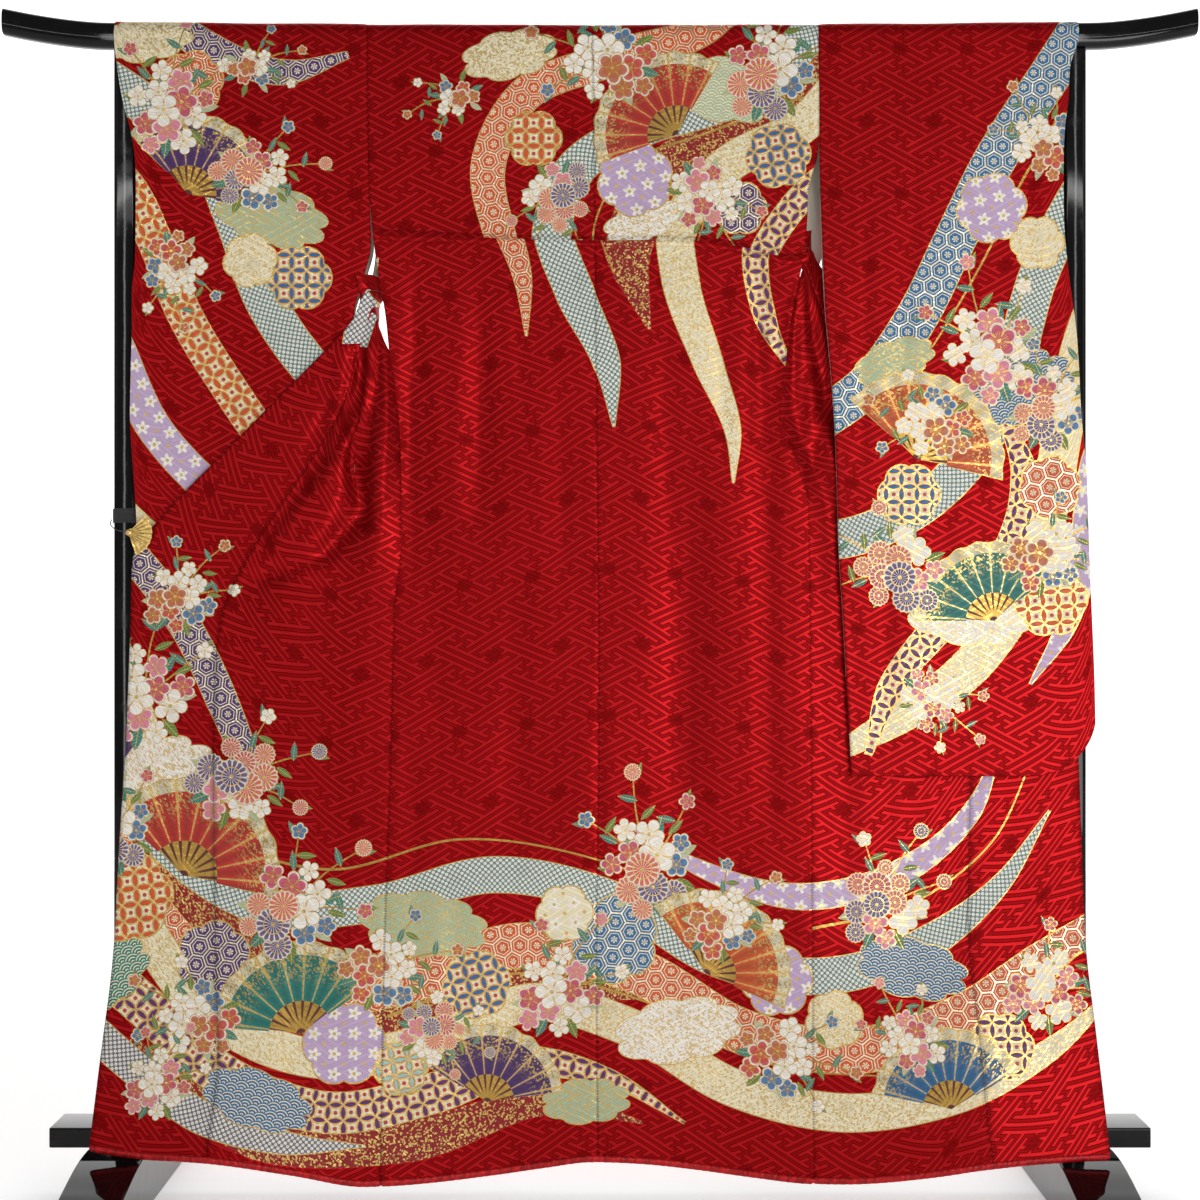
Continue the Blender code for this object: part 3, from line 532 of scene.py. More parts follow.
class Panel:
    """A stretch of cloth: a smooth surface through a coarse grid, over its own flat (across, along)."""

    def __init__(self, grid, shown, seams=(True, True), origin=(0, 0)):
        """A spline through each column of the grid, and then one through each row of what that gives.

        shown holds the rows seen from the near and the far side, seams which side edges are sewn, and
        origin the place of the first corner in the weave.
        """
        grid = np.asarray(grid, float)
        rows, columns = grid.shape[:2]
        along = np.linalg.norm(np.diff(grid, axis=0), axis=2).mean(axis=1)
        across = np.linalg.norm(np.diff(grid, axis=1), axis=2).mean(axis=0)
        keys_v = np.concatenate([[0], np.cumsum(np.maximum(along, 0.5))])
        keys_u = np.concatenate([[0], np.cumsum(np.maximum(across, 0.5))])
        self.v = finer(keys_v, [])
        self.u = finer(keys_u, BESIDE_EDGE)
        tall = spline(keys_v, grid.reshape(rows, -1), self.v).reshape(len(self.v), columns, 3)
        wide = spline(keys_u, tall.transpose(1, 0, 2).reshape(columns, -1), self.u)
        self.points = wide.reshape(len(self.u), len(self.v), 3).transpose(1, 0, 2)
        self.shown = {}
        for side, ends in shown.items():
            first, last = np.searchsorted(self.v, [keys_v[k] for k in ends])
            self.shown[side] = slice(int(first), min(int(last) + 1, len(self.v)))
        side, rows = next(iter(self.shown.items()))
        self.flipped = self.facing()[rows, :, 1].sum() * (-1 if side == "near" else 1) < 0
        unsewn = np.full(len(self.u), 99.0)
        first, last = self.u - self.u[0], self.u[-1] - self.u
        beside = np.minimum(first if seams[0] else unsewn, last if seams[1] else unsewn)
        self.edge = np.broadcast_to(beside[None, :], self.points.shape[:2])
        across = np.linalg.norm(np.diff(self.points, axis=1, prepend=self.points[:, :1]), axis=2)
        along = np.linalg.norm(np.diff(self.points, axis=0, prepend=self.points[:1]), axis=2)
        self.cloth = np.stack([np.cumsum(across, axis=1), np.cumsum(along, axis=0)], axis=2) + origin
        self.settle()

    def facing(self):
        """Unit normals of the surface at every grid point."""
        return unit(np.cross(np.gradient(self.points, axis=1), np.gradient(self.points, axis=0)))

    def settle(self):
        """Works out the outward normals again after a change."""
        self.normals = self.facing() * (-1 if self.flipped else 1)

    def press(self, creases, side="near"):
        """Sinks soft troughs into what faces a side: a bell across each line, and a low swell along it."""
        x, z = self.points[..., 0], self.points[..., 2]
        faced = np.clip(self.normals[..., 1] * (-2 if side == "near" else 2), 0, 1)
        sink = np.zeros_like(x)
        for x0, z0, x1, z1, half_width, depth in creases:
            way = np.array([x1 - x0, z1 - z0], float)
            share = ((x - x0) * way[0] + (z - z0) * way[1]) / (way @ way)
            held = np.clip(share, 0, 1)
            far = np.hypot(x - x0 - held * way[0], z - z0 - held * way[1])
            swell = 0.35 + 0.65 * np.sin(np.pi * np.clip(held, 0.04, 0.96)) ** 0.7
            sink += depth * np.exp(-((far / half_width) ** 2)) * swell
        self.points -= self.normals * (sink * faced * self.free())[..., None]
        self.settle()

    def free(self):
        """How free each grid point is to move: 0 on a sewn edge and 1 from 15 mm away."""
        return 1 - np.exp(-((self.edge / 8) ** 2))

    def sew(self, depth=0.9, reach=4.0):
        """Draws the cloth in along its sewn edges, with the puckers of a hand seam every 7 cm or so, and
        adds the faint unrest of hanging silk, which is sines of the flat place within sines.
        """
        u, v = self.u[None, :], self.v[:, None]
        calm = np.sin(u / 61 + 1.3 * np.sin(v / 143)) * np.sin(v / 97 + u / 130) * 0.7
        calm += np.sin(u / 23 + 2 * np.sin(v / 71)) * np.sin(v / 167 + 1) * 0.25
        pucker = np.sin(v / 11 + 2 * np.sin(v / 83)) * 0.22 * np.exp(-(((self.edge - 7) / 5) ** 2))
        sink = depth * np.exp(-self.edge / reach) + (calm + pucker) * self.free()
        self.points -= self.normals * sink[..., None]
        self.settle()

    def cell(self, i, j, first=0, last=None):
        """Lower corner and shares of the grid cells at rows i and columns j, also past the edges."""
        row = np.clip(np.floor(i).astype(int), first, (len(self.v) - 1 if last is None else last) - 1)
        column = np.clip(np.floor(j).astype(int), 0, len(self.u) - 2)
        return row, column, (i - row)[:, None], (j - column)[:, None]

    def between(self, values, i, j):
        """Values of the grid at rows i and columns j, by their place between four grid points."""
        row, column, s, t = self.cell(i, j)
        near = values[row, column] * (1 - t) + values[row, column + 1] * t
        return near * (1 - s) + (values[row + 1, column] * (1 - t) + values[row + 1, column + 1] * t) * s

    def rows_at(self, flat):
        """Rows and columns of flat cloth points."""
        i = np.interp(flat[:, 1], self.v, np.arange(len(self.v)))
        j = np.interp(flat[:, 0], self.u, np.arange(len(self.u)))
        return i, j

    def locate(self, view, side):
        """Flat cloth points under (x, height) points, found by Newton steps from the nearest grid point."""
        rows = self.shown[side]
        seen = self.points[rows][::4, ::3][..., [0, 2]]
        near = np.argmin(((seen.reshape(1, -1, 2) - view[:, None]) ** 2).sum(axis=2), axis=1)
        i = (near // seen.shape[1]) * 4.0 + rows.start
        j = (near % seen.shape[1]) * 3.0
        flat = self.points[..., [0, 2]]
        first, last = rows.start, rows.stop - 1
        for _ in range(8):
            row, column, s, t = self.cell(i, j, first, last)
            corner, right = flat[row, column], flat[row, column + 1]
            up, both = flat[row + 1, column], flat[row + 1, column + 1]
            miss = view - ((corner * (1 - t) + right * t) * (1 - s) + (up * (1 - t) + both * t) * s)
            along_i = (up - corner) * (1 - t) + (both - right) * t
            along_j = (right - corner) * (1 - s) + (both - up) * s
            area = along_i[:, 0] * along_j[:, 1] - along_i[:, 1] * along_j[:, 0]
            area = np.where(np.abs(area) < 1, np.where(area < 0, -1.0, 1.0), area)
            i = i + np.clip((miss[:, 0] * along_j[:, 1] - miss[:, 1] * along_j[:, 0]) / area, -9, 9)
            j = j + np.clip((along_i[:, 0] * miss[:, 1] - along_i[:, 1] * miss[:, 0]) / area, -9, 9)
            i = np.clip(i, first - 14, last + 14)
            j = np.clip(j, -14, len(self.u) + 13)
        over_v = np.interp(np.clip(i, first, last), np.arange(len(self.v)), self.v)
        over_v += np.maximum(i - last, 0) * (self.v[last] - self.v[last - 1])
        over_v -= np.maximum(first - i, 0) * (self.v[first + 1] - self.v[first])
        over_u = np.interp(j, np.arange(len(self.u)), self.u)
        over_u += np.maximum(j - len(self.u) + 1, 0) * (self.u[-1] - self.u[-2])
        over_u += np.minimum(j, 0) * (self.u[1] - self.u[0])
        return np.stack([over_u, over_v], axis=1)

    def seen_at(self, flat, points, side):
        """(x, height) of points as the painter sees them, with the cloth over the rail laid straight up."""
        rows = self.shown[side]
        end = rows.stop - 1 if side == "near" else rows.start
        past = (flat[:, 1] - self.v[end]) * (1 if side == "near" else -1)
        top = np.interp(flat[:, 0], self.u, self.points[end, :, 2])
        height = np.where(past > 0, top + past, points[:, 2])
        return np.stack([points[:, 0], height], axis=1)


# The painting: dyed by hand inside fine lines of paste, then touched with gold, on the basted
# kimono, so that it runs on across the seams. Winding streams filled with small repeats carry
# snow rings, open fans, drifting clouds and sprays of plum, cherry and chrysanthemum.
PIGMENTS = {
    "white": "E9E3D8", "cream": "E4D9B8", "gold": "C9A85C", "old_gold": "B48F45", "teal": "9CC4BB",
    "deep_teal": "1F7A70", "sage": "A9B795", "leaf": "5A7A38", "grey": "A6A4AE", "lilac": "BCA2C2",
    "purple": "4F2E68", "blue": "2A6796", "orange": "CB5423", "rust": "B25526", "vermilion": "BC2E24",
    "pink": "D2708C", "rose": "B92C54", "red": "A80F16",
}


def pigment(name):
    """A named colour as linear red, green and blue."""
    code = PIGMENTS[name]
    values = [int(code[k : k + 2], 16) / 255 for k in (0, 2, 4)]
    return tuple(v / 12.92 if v < 0.04045 else ((v + 0.055) / 1.055) ** 2.4 for v in values)


def trimmed(outline, over):
    """The part of an outline where a measure, given for each of its points, is not below 0, or nothing."""
    kept = []
    for k in range(len(outline)):
        if over[k - 1] * over[k] < 0:
            share = over[k - 1] / (over[k - 1] - over[k])
            kept.append(outline[k - 1] + (outline[k] - outline[k - 1]) * share)
        if over[k] >= 0:
            kept.append(outline[k])
    return np.array(kept) if len(kept) > 2 else None


class Motif:
    """A painted shape: its outline in (x, height), its paint, its colour and its own (right, up)."""

    def __init__(self, outline, paint, colour, own):
        self.outline = np.asarray(outline, float)
        self.paint = paint
        self.colour = colour
        self.own = own


# Repeats are drawn in units of 100 mm, and flowers, leaves and fans in units of their own size.
REPEAT_UNIT = 100
RIM = 1.3
STREAM_STEP = 9


def cosine_sine(turn):
    """Cosine and sine of an angle in degrees."""
    return math.cos(math.radians(turn)), math.sin(math.radians(turn))


def placed(x, z, size, turn=0.0):
    """Own coordinates about a place: turned back, and divided by the size."""
    c, s = cosine_sine(turn)

    def own(points):
        away = (points - (x, z)) / size
        return np.stack([away[:, 0] * c + away[:, 1] * s, away[:, 1] * c - away[:, 0] * s], axis=1)

    return own


def turned(x, z, right, up, turn):
    """Points turned by degrees and carried to a place."""
    c, s = cosine_sine(turn)
    return np.stack([x + right * c - up * s, z + right * s + up * c], axis=1)


def ring(x, z, radii, turn=0.0, spread=360.0):
    """Points round a place at given radii, evenly spaced in angle."""
    angle = np.radians(turn + np.linspace(0, spread, len(radii), endpoint=spread < 360))
    return np.stack([x + radii * np.cos(angle), z + radii * np.sin(angle)], axis=1)


def petals(count, depth, sharp=1.0, steps=8):
    """Radii round a flower of rounded petals: one less a dip between the petals."""
    return 1 - depth * (1 - np.abs(np.cos(circle(count * steps) * count / 2)) ** sharp)


def flower(x, z, size, turn, paint, colour):
    """A flower with a thin gold line round it."""
    count, depth, sharp = {"plum": (5, 0.3, 0.8), "cherry": (5, 0.42, 0.6), "mum": (16, 0.16, 0.9)}[paint]
    radii = petals(count, depth, sharp, 8 if count == 5 else 3)
    return [
        Motif(ring(x, z, radii * size + 1.1, turn), "foil", "gold", placed(x, z, REPEAT_UNIT)),
        Motif(ring(x, z, radii * size, turn), paint, colour, placed(x, z, size, turn)),
    ]


def leaf(x, z, length, turn, colour, width=0.34):
    """A pointed leaf that starts at the place: half a sine wave to either side of its midrib."""
    share = np.linspace(0, 1, 9)
    half = np.sin(np.pi * share**0.85) ** 0.9 * width * length / 2
    side = np.stack([share * length, half], axis=1)
    shape = np.vstack([side, side[-2:0:-1] * (1, -1)])
    return [Motif(turned(x, z, *shape.T, turn), "leaf", colour, placed(x, z, length, turn))]


def snow_ring(x, z, size, turn, paint, colour):
    """A six-lobed snow ring filled with a repeat, with a gold rim inside its edge."""
    radii = petals(6, 0.13, 0.7, 12)
    return [
        Motif(ring(x, z, radii * size, turn), "foil", "gold", placed(x, z, REPEAT_UNIT)),
        Motif(ring(x, z, radii * size - 2.2, turn), paint, colour, placed(x, z, REPEAT_UNIT, turn)),
    ]


def cloud(x, z, size, flat, turn, paint, colour, lobes=9):
    """A drifting cloud: a flattened round with uneven lobes."""
    angle = circle(lobes * 10)
    swell = 1 - 0.16 * (1 - np.abs(np.sin(angle * lobes / 2 + np.sin(angle) * 0.6)) ** 0.7)
    shapes = []
    for more, fill, tint in ((1.4, "foil", "gold"), (0.0, paint, colour)):
        right, up = (swell * size + more) * np.cos(angle), (swell * size * flat + more) * np.sin(angle)
        outline = turned(x, z, right, up, turn)
        shapes.append(Motif(outline, fill, tint, placed(x, z, REPEAT_UNIT, turn)))
    return shapes


FAN_FOLDS = 9


def fan(x, z, size, turn, spread, colour):
    """An open folding fan on its pivot at the place: gilt sticks, a gold rim and pleated paper."""
    start = turn - spread / 2
    wavy = size + 1.6 * np.cos(np.linspace(0, FAN_FOLDS * 2 * math.pi, FAN_FOLDS * 6 + 1))
    outer = ring(x, z, wavy, start, spread)
    inner = ring(x, z, np.full(14, size * 0.36), start, spread)[::-1]
    sticks = ring(x, z, np.full(14, size * 0.4), start + 3, spread - 6)
    own = placed(x, z, size, turn)
    rim = np.vstack([ring(x, z, wavy + 1.6, start - 0.8, spread + 1.6), inner])
    return [
        Motif(np.vstack([[[x, z]], sticks]), "sticks", "old_gold", own),
        Motif(rim, "foil", "gold", own),
        Motif(np.vstack([outer, inner]), "fan", colour, own),
    ]


def stream(route, width, paint, colour, edge="gold"):
    """A winding band with a gold edge: a smooth line, its width set off to both sides.

    route holds x, height and, where the band is narrower, the share of its full width.
    """
    route = np.array([(*point, 1)[:3] for point in route], float)
    middle = route[:, :2]
    way = travelled(middle)
    at = np.linspace(0, way[-1], int(way[-1] / STREAM_STEP) + 2)
    line = curve(way, middle, np.gradient(middle, way, axis=0), at)
    half = np.interp(at, way, route[:, 2])[:, None] * width / 2
    ahead = unit(np.gradient(line, axis=0))
    beside = np.stack([-ahead[:, 1], ahead[:, 0]], axis=1)

    def own(points):
        near = np.argmin(((points[:, None] - line[None]) ** 2).sum(axis=2), axis=1)
        away = points - line[near]
        along = at[near] + np.sum(away * ahead[near], axis=1)
        return np.stack([along, np.sum(away * beside[near], axis=1)], axis=1) / REPEAT_UNIT

    shapes = []
    for more, fill, tint in ((RIM, "foil", edge), (0.0, paint, colour)):
        outline = np.vstack([line + beside * (half + more), (line - beside * (half + more))[::-1]])
        shapes.append(Motif(outline, fill, tint, own))
    return shapes


def twig(points, width):
    """A thin gold line through a few points, which tapers by 0.6 of its width and has no rim."""
    route = [(x, z, 1 - 0.6 * k / len(points)) for k, (x, z) in enumerate(points)]
    return stream(route, width, "foil", "old_gold")[1:]


def spray(x, z, size, turn, kinds, count=12):
    """A spray of blossom: three twigs with leaves, a ring of leaves, and flowers on a spiral.

    Each flower stands 2.4 radians round from the one before, and the last stands in the middle.
    """
    shapes = []
    way = math.radians(turn)
    for k, (bend, far) in enumerate(((0.0, 1.4), (0.75, 1.15), (-0.7, 1.1))):
        end_x, end_z = x + math.cos(way + bend) * size * far, z + math.sin(way + bend) * size * far
        middle = (x * 0.45 + end_x * 0.55 + 6 * (k - 1), z * 0.45 + end_z * 0.55 + 5)
        shapes += twig([(x, z), middle, (end_x, end_z)], 3.0)
        for step in range(3):
            share = 0.5 + 0.2 * step
            angle = turn + (55 if (step + k) % 2 else -55) + 12 * step
            spot = (x + (end_x - x) * share, z + (end_z - z) * share)
            shapes += leaf(*spot, size * 0.3, angle, ("leaf", "deep_teal")[(step + k) % 2])
        shapes += flower(end_x, end_z, size * 0.12, turn + 40 * k, *kinds[(k + 1) % len(kinds)])
    for k in range(7):
        angle = turn + 30 + 51 * k
        c, s = cosine_sine(angle)
        spot = (x + c * size * 0.4, z + s * size * 0.4)
        shapes += leaf(*spot, size * 0.36, angle, ("deep_teal", "leaf", "sage")[k % 3], 0.42)
    for k in range(count):
        angle = way + k * 2.4 + 0.4
        far = size * 0.19 * math.sqrt(count - k - 0.7)
        grown = size * (0.15 + 0.105 * k / count) * (1 + 0.14 * math.sin(k * 5.1 + x))
        spot = (x + math.cos(angle) * far, z + math.sin(angle) * far)
        shapes += flower(*spot, grown, turn + 50 * k, *kinds[k % len(kinds)])
    return shapes


PLUM = [("plum", "white"), ("plum", "rust"), ("plum", "blue"), ("plum", "white"), ("plum", "vermilion")]
CHERRY = [("cherry", "white"), ("cherry", "pink"), ("cherry", "rose"), ("cherry", "white")]
MUMS = [("mum", "orange"), ("mum", "purple"), ("plum", "white"), ("mum", "vermilion"), ("cherry", "pink")]
MIXED = [("cherry", "white"), ("mum", "orange"), ("plum", "blue"), ("cherry", "rose"), ("mum", "purple")]


def dyed(rows):
    """The motifs of a list in the order of painting. Each row gives a maker and what it is told."""
    return [motif for maker, *told in rows for motif in maker(*told)]


# Each list is dyed on its own pieces: the skirt on the fronts, overlaps and backs.
skirt = dyed([
    (stream, [(-770, 700), (-640, 480), (-480, 330), (-260, 300), (-60, 330, 0.8), (60, 300, 0.1)], 120,
     "sand", "red", "red"),
    (stream, [(-660, 240, 0.3), (-480, 110), (-260, 100), (-60, 150, 0.6), (60, 120, 0.05)], 60, "sand",
     "red", "red"),
    (stream, [(-770, 800), (-705, 650), (-610, 510), (-470, 425), (-320, 430), (-150, 470), (30, 430),
     (170, 350), (330, 330), (470, 380, 0.9), (570, 460, 0.5), (640, 560, 0.03)], 50, "kanoko", "teal"),
    (stream, [(-770, 610), (-690, 500), (-590, 370), (-440, 300), (-280, 320), (-110, 370), (60, 330),
     (200, 250), (350, 225), (500, 270), (620, 350, 0.8), (750, 440, 0.3)], 62, "kikko", "orange"),
    (stream, [(-770, 540), (-660, 420), (-560, 290), (-400, 215), (-240, 235), (-90, 290), (40, 255),
     (190, 170), (340, 140), (500, 170, 0.9), (640, 240, 0.5), (740, 330, 0.03)], 52, "gilded", "cream"),
    (stream, [(-770, 400), (-640, 290), (-520, 190), (-380, 140), (-230, 165), (-100, 205, 0.8),
     (20, 180, 0.4), (120, 120, 0.03)], 56, "shippo", "purple"),
    (stream, [(-780, 320), (-650, 205), (-560, 140), (-440, 100, 0.7), (-330, 92, 0.03)], 44, "kanoko",
     "grey"),
    (stream, [(40, 540, 0.03), (140, 480, 0.6), (280, 440), (420, 470), (530, 560, 0.7), (575, 670, 0.03)],
     36, "floret", "lilac"),
    (stream, [(-770, 1010), (-660, 915), (-590, 820), (-540, 720), (-500, 610, 0.8), (-500, 520, 0.3)], 44,
     "kikko", "purple"),
    (stream, [(-740, 900), (-690, 800), (-650, 690), (-600, 590, 0.5)], 34, "gilded", "cream"),
    (stream, [(-334, 1350), (-341, 1280), (-350, 1222)], 34, "kanoko", "grey"),
    (twig, [(-560, 520), (-380, 478), (-200, 520), (0, 490), (200, 400)], 4),
    (twig, [(-300, 272), (-120, 330), (60, 292), (240, 205), (430, 190)], 4),
    (twig, [(300, 395), (430, 425), (560, 520), (620, 640)], 4),
    # clouds and snow rings on the skirt
    (cloud, -640, 610, 96, 0.56, 14, "gilded", "white"),
    (cloud, -705, 330, 78, 0.6, 30, "waves", "deep_teal", 8),
    (cloud, -250, 400, 92, 0.5, -8, "gilded", "sage"),
    (cloud, -480, 160, 80, 0.5, -20, "waves", "blue", 8),
    (cloud, 110, 250, 92, 0.5, 10, "gilded", "white", 8),
    (cloud, 440, 340, 80, 0.52, -12, "waves", "blue", 8),
    (cloud, -20, 150, 64, 0.5, 4, "gilded", "sage", 8),
    (snow_ring, -665, 440, 64, 8, "shippo", "orange"),
    (snow_ring, -545, 355, 54, 20, "kikko", "purple"),
    (snow_ring, -360, 235, 60, 0, "floret", "lilac"),
    (snow_ring, -280, 200, 40, 10, "shippo", "teal"),
    (snow_ring, -175, 315, 50, 15, "shippo", "blue"),
    (snow_ring, 20, 378, 64, 25, "kikko", "blue"),
    (snow_ring, -50, 415, 42, 5, "floret", "cream"),
    (snow_ring, 250, 322, 52, 5, "floret", "lilac"),
    (snow_ring, 330, 268, 42, 18, "gilded", "cream"),
    (snow_ring, 560, 235, 48, 0, "shippo", "purple"),
    # fans and sprays on the skirt
    (fan, -590, 470, 136, 62, 150, "vermilion"),
    (fan, -700, 600, 104, 120, 130, "purple"),
    (spray, -650, 720, 100, 78, CHERRY),
    (spray, -690, 530, 84, 100, MIXED),
    (spray, -520, 600, 92, 20, MUMS),
    (fan, -420, 250, 126, 105, 140, "deep_teal"),
    (spray, -440, 420, 98, 40, MIXED),
    (spray, -560, 270, 78, 150, PLUM),
    (spray, -310, 335, 80, 15, PLUM),
    (spray, -620, 180, 66, 60, CHERRY),
    (fan, -160, 150, 108, 78, 140, "purple"),
    (spray, -240, 250, 64, -20, MUMS),
    (spray, -60, 300, 88, 60, CHERRY),
    (spray, 70, 480, 98, 100, MIXED),
    (fan, 150, 330, 118, 52, 150, "orange"),
    (spray, 170, 400, 74, 40, PLUM),
    (spray, 250, 215, 80, -10, PLUM),
    (spray, 400, 425, 86, 62, MUMS),
    (fan, 490, 150, 108, 100, 140, "blue"),
    (spray, 440, 240, 66, 120, CHERRY),
    (spray, 625, 310, 80, 40, CHERRY),
    (spray, -600, 860, 72, 50, PLUM),
])

# The shoulders' list runs down the backs and over the tuck at the waist, which hides a strip of it.
# x and height of the tuck's fold
TUCK = [
    (-325, 1384), (-250, 1380), (-170, 1377), (-60, 1374), (3, 1373), (80, 1374), (147, 1372), (200, 1364),
    (235, 1355), (277, 1347), (296, 1352),
]
TUCK_HIDES = 46.0


def lifted(motif, rise):
    """A motif further up by a distance, its own coordinates with it."""

    def own(points):
        return motif.own(points - (0, rise))

    return Motif(motif.outline + (0, rise), motif.paint, motif.colour, own)


def tucked(motifs):
    """The motifs parted at the tuck: what lies below it comes up by the strip that it hides."""
    parted = []
    keys, values = zip(*TUCK)
    for motif in motifs:
        for way, rise in ((1, 0.0), (-1, TUCK_HIDES)):
            part = lifted(motif, rise)
            above = part.outline[:, 1] - np.interp(part.outline[:, 0], keys, values)
            part.outline = trimmed(part.outline, above * way)
            if part.outline is not None:
                parted.append(part)
    return parted


shoulders = tucked(dyed([
    (stream, [(330, 1640, 0.3), (200, 1530), (80, 1440), (40, 1320, 0.8), (70, 1200, 0.05)], 90, "sand",
     "red", "red"),
    (stream, [(340, 1790), (290, 1660), (180, 1575), (60, 1535), (-40, 1470), (-70, 1360), (-35, 1250),
     (10, 1150, 0.7), (20, 1060, 0.03)], 54, "kanoko", "teal"),
    (stream, [(240, 1790), (150, 1680), (20, 1635), (-110, 1580), (-160, 1480), (-140, 1370, 0.9),
     (-110, 1270, 0.5), (-105, 1190, 0.03)], 48, "kikko", "orange"),
    (stream, [(360, 1620), (290, 1540), (180, 1480), (112, 1390), (115, 1270), (155, 1150, 0.8),
     (190, 1050, 0.4), (190, 980, 0.03)], 52, "gilded", "cream"),
    (stream, [(350, 1490), (275, 1420), (225, 1330), (235, 1220, 0.8), (280, 1130, 0.05)], 38, "shippo",
     "purple"),
    (twig, [(290, 1580), (160, 1530), (40, 1480), (-10, 1380), (20, 1280)], 4),
    (cloud, 175, 1590, 90, 0.52, -10, "waves", "sage"),
    (cloud, -130, 1640, 70, 0.5, 12, "gilded", "cream", 8),
    (cloud, 60, 1400, 58, 0.5, 20, "gilded", "white", 8),
    (snow_ring, 255, 1495, 48, 10, "shippo", "blue"),
    (snow_ring, 50, 1462, 56, 22, "floret", "lilac"),
    (snow_ring, -95, 1520, 42, 0, "shippo", "orange"),
    (snow_ring, 200, 1420, 40, 0, "kikko", "purple"),
    (fan, 110, 1525, 118, 130, 140, "vermilion"),
    (spray, 20, 1630, 90, 160, PLUM),
    (spray, 240, 1610, 94, 70, MIXED),
    (spray, 150, 1440, 74, -60, CHERRY),
    (spray, -60, 1440, 70, -110, MUMS),
    (spray, -205, 1580, 54, 200, PLUM, 7),
]))

# The sleeves' list runs over the two sleeves.
sleeves = dyed([
    (stream, [(-760, 1640), (-640, 1560), (-560, 1490), (-520, 1400), (-480, 1290), (-420, 1200),
     (-350, 1130), (-300, 1090)], 56, "kanoko", "teal"),
    (stream, [(-760, 1520), (-675, 1450), (-635, 1370), (-595, 1270), (-535, 1170), (-470, 1080),
     (-380, 1000)], 48, "shippo", "orange"),
    (stream, [(-740, 1330), (-690, 1220), (-640, 1110), (-560, 1020), (-470, 950)], 48, "floret", "lilac"),
    (stream, [(-670, 1740), (-560, 1650), (-450, 1615, 0.8), (-360, 1640, 0.2)], 44, "kikko", "purple"),
    (stream, [(-760, 1060), (-660, 960), (-570, 880), (-470, 800)], 46, "gilded", "cream"),
    (cloud, -470, 1410, 84, 0.54, -16, "gilded", "sage", 8),
    (cloud, -650, 1665, 70, 0.5, 8, "gilded", "cream", 8),
    (snow_ring, -430, 1320, 48, 0, "shippo", "blue"),
    (snow_ring, -500, 1345, 40, 12, "gilded", "cream"),
    (snow_ring, -585, 1600, 48, 14, "kikko", "orange"),
    (fan, -590, 1440, 116, 60, 145, "purple"),
    (spray, -615, 1560, 92, 80, CHERRY),
    (spray, -500, 1465, 78, 10, MIXED),
    (spray, -610, 1340, 66, -80, PLUM),
    (spray, -500, 1620, 56, 20, PLUM, 7),
    (stream, [(740, 1760), (650, 1620), (565, 1490), (505, 1370), (450, 1260), (385, 1170), (290, 1100)],
     58, "kikko", "blue"),
    (stream, [(770, 1560), (685, 1440), (625, 1320), (590, 1200), (540, 1080), (450, 990), (360, 950),
     (290, 940)], 54, "kanoko", "teal"),
    (stream, [(770, 1380), (700, 1260), (665, 1130), (640, 1000), (600, 870), (520, 760), (420, 690, 0.8),
     (330, 640, 0.4)], 54, "gilded", "cream"),
    (stream, [(560, 1150, 0.1), (605, 1030, 0.9), (565, 900), (480, 820), (410, 730, 0.8), (380, 640, 0.2)],
     44, "shippo", "purple"),
    (stream, [(770, 1180), (710, 1060), (690, 930), (660, 820, 0.6), (610, 740, 0.05)], 46, "floret",
     "lilac"),
    (twig, [(700, 1600), (610, 1470), (545, 1340), (480, 1230), (400, 1120)], 4),
    (cloud, 590, 1160, 90, 0.56, 20, "waves", "blue"),
    (cloud, 520, 850, 98, 0.56, -8, "gilded", "white"),
    (cloud, 420, 1200, 60, 0.5, 20, "gilded", "sage", 8),
    (snow_ring, 560, 1420, 52, 12, "floret", "lilac"),
    (snow_ring, 625, 1370, 40, 0, "gilded", "cream"),
    (snow_ring, 640, 860, 54, 4, "shippo", "orange"),
    (snow_ring, 640, 1020, 46, 18, "kikko", "orange"),
    (snow_ring, 440, 1010, 46, 0, "shippo", "blue"),
    (fan, 450, 1060, 124, 62, 150, "orange"),
    (spray, 560, 1210, 98, 105, CHERRY),
    (spray, 640, 1130, 84, 60, MIXED),
    (spray, 480, 1110, 74, 160, PLUM),
    (fan, 560, 830, 112, 110, 140, "deep_teal"),
    (spray, 430, 900, 88, 150, MUMS),
    (spray, 630, 920, 78, 30, PLUM),
    (spray, 640, 1510, 70, 120, PLUM),
    (spray, 470, 720, 64, -40, CHERRY),
])


# The far side, seen from behind the rack, is painted alike on the fronts and sleeves.
far_painting = dyed([
    (stream, [(-760, 1620), (-600, 1520), (-480, 1430), (-420, 1320), (-340, 1240), (-250, 1190, 0.3)], 50,
     "kanoko", "teal"),
    (stream, [(760, 1520), (620, 1400), (560, 1280), (470, 1190), (340, 1100)], 50, "kikko", "orange"),
    (stream, [(-760, 1070), (-600, 930), (-470, 860), (-340, 760)], 48, "gilded", "cream"),
    (stream, [(760, 980), (620, 860), (470, 800), (340, 700)], 48, "kanoko", "teal"),
    (fan, -540, 1420, 116, 100, 145, "vermilion"),
    (fan, 560, 1240, 116, 80, 145, "purple"),
    (snow_ring, -620, 1300, 50, 0, "shippo", "blue"),
    (snow_ring, 480, 1420, 50, 0, "floret", "lilac"),
    (spray, -600, 1540, 90, 60, CHERRY),
    (spray, 600, 1500, 90, 110, MIXED),
    (spray, -460, 1000, 90, 80, MUMS),
    (spray, 520, 900, 90, 70, PLUM),
    (spray, -240, 1560, 78, 70, PLUM),
    (spray, 230, 1580, 78, 110, CHERRY),
])


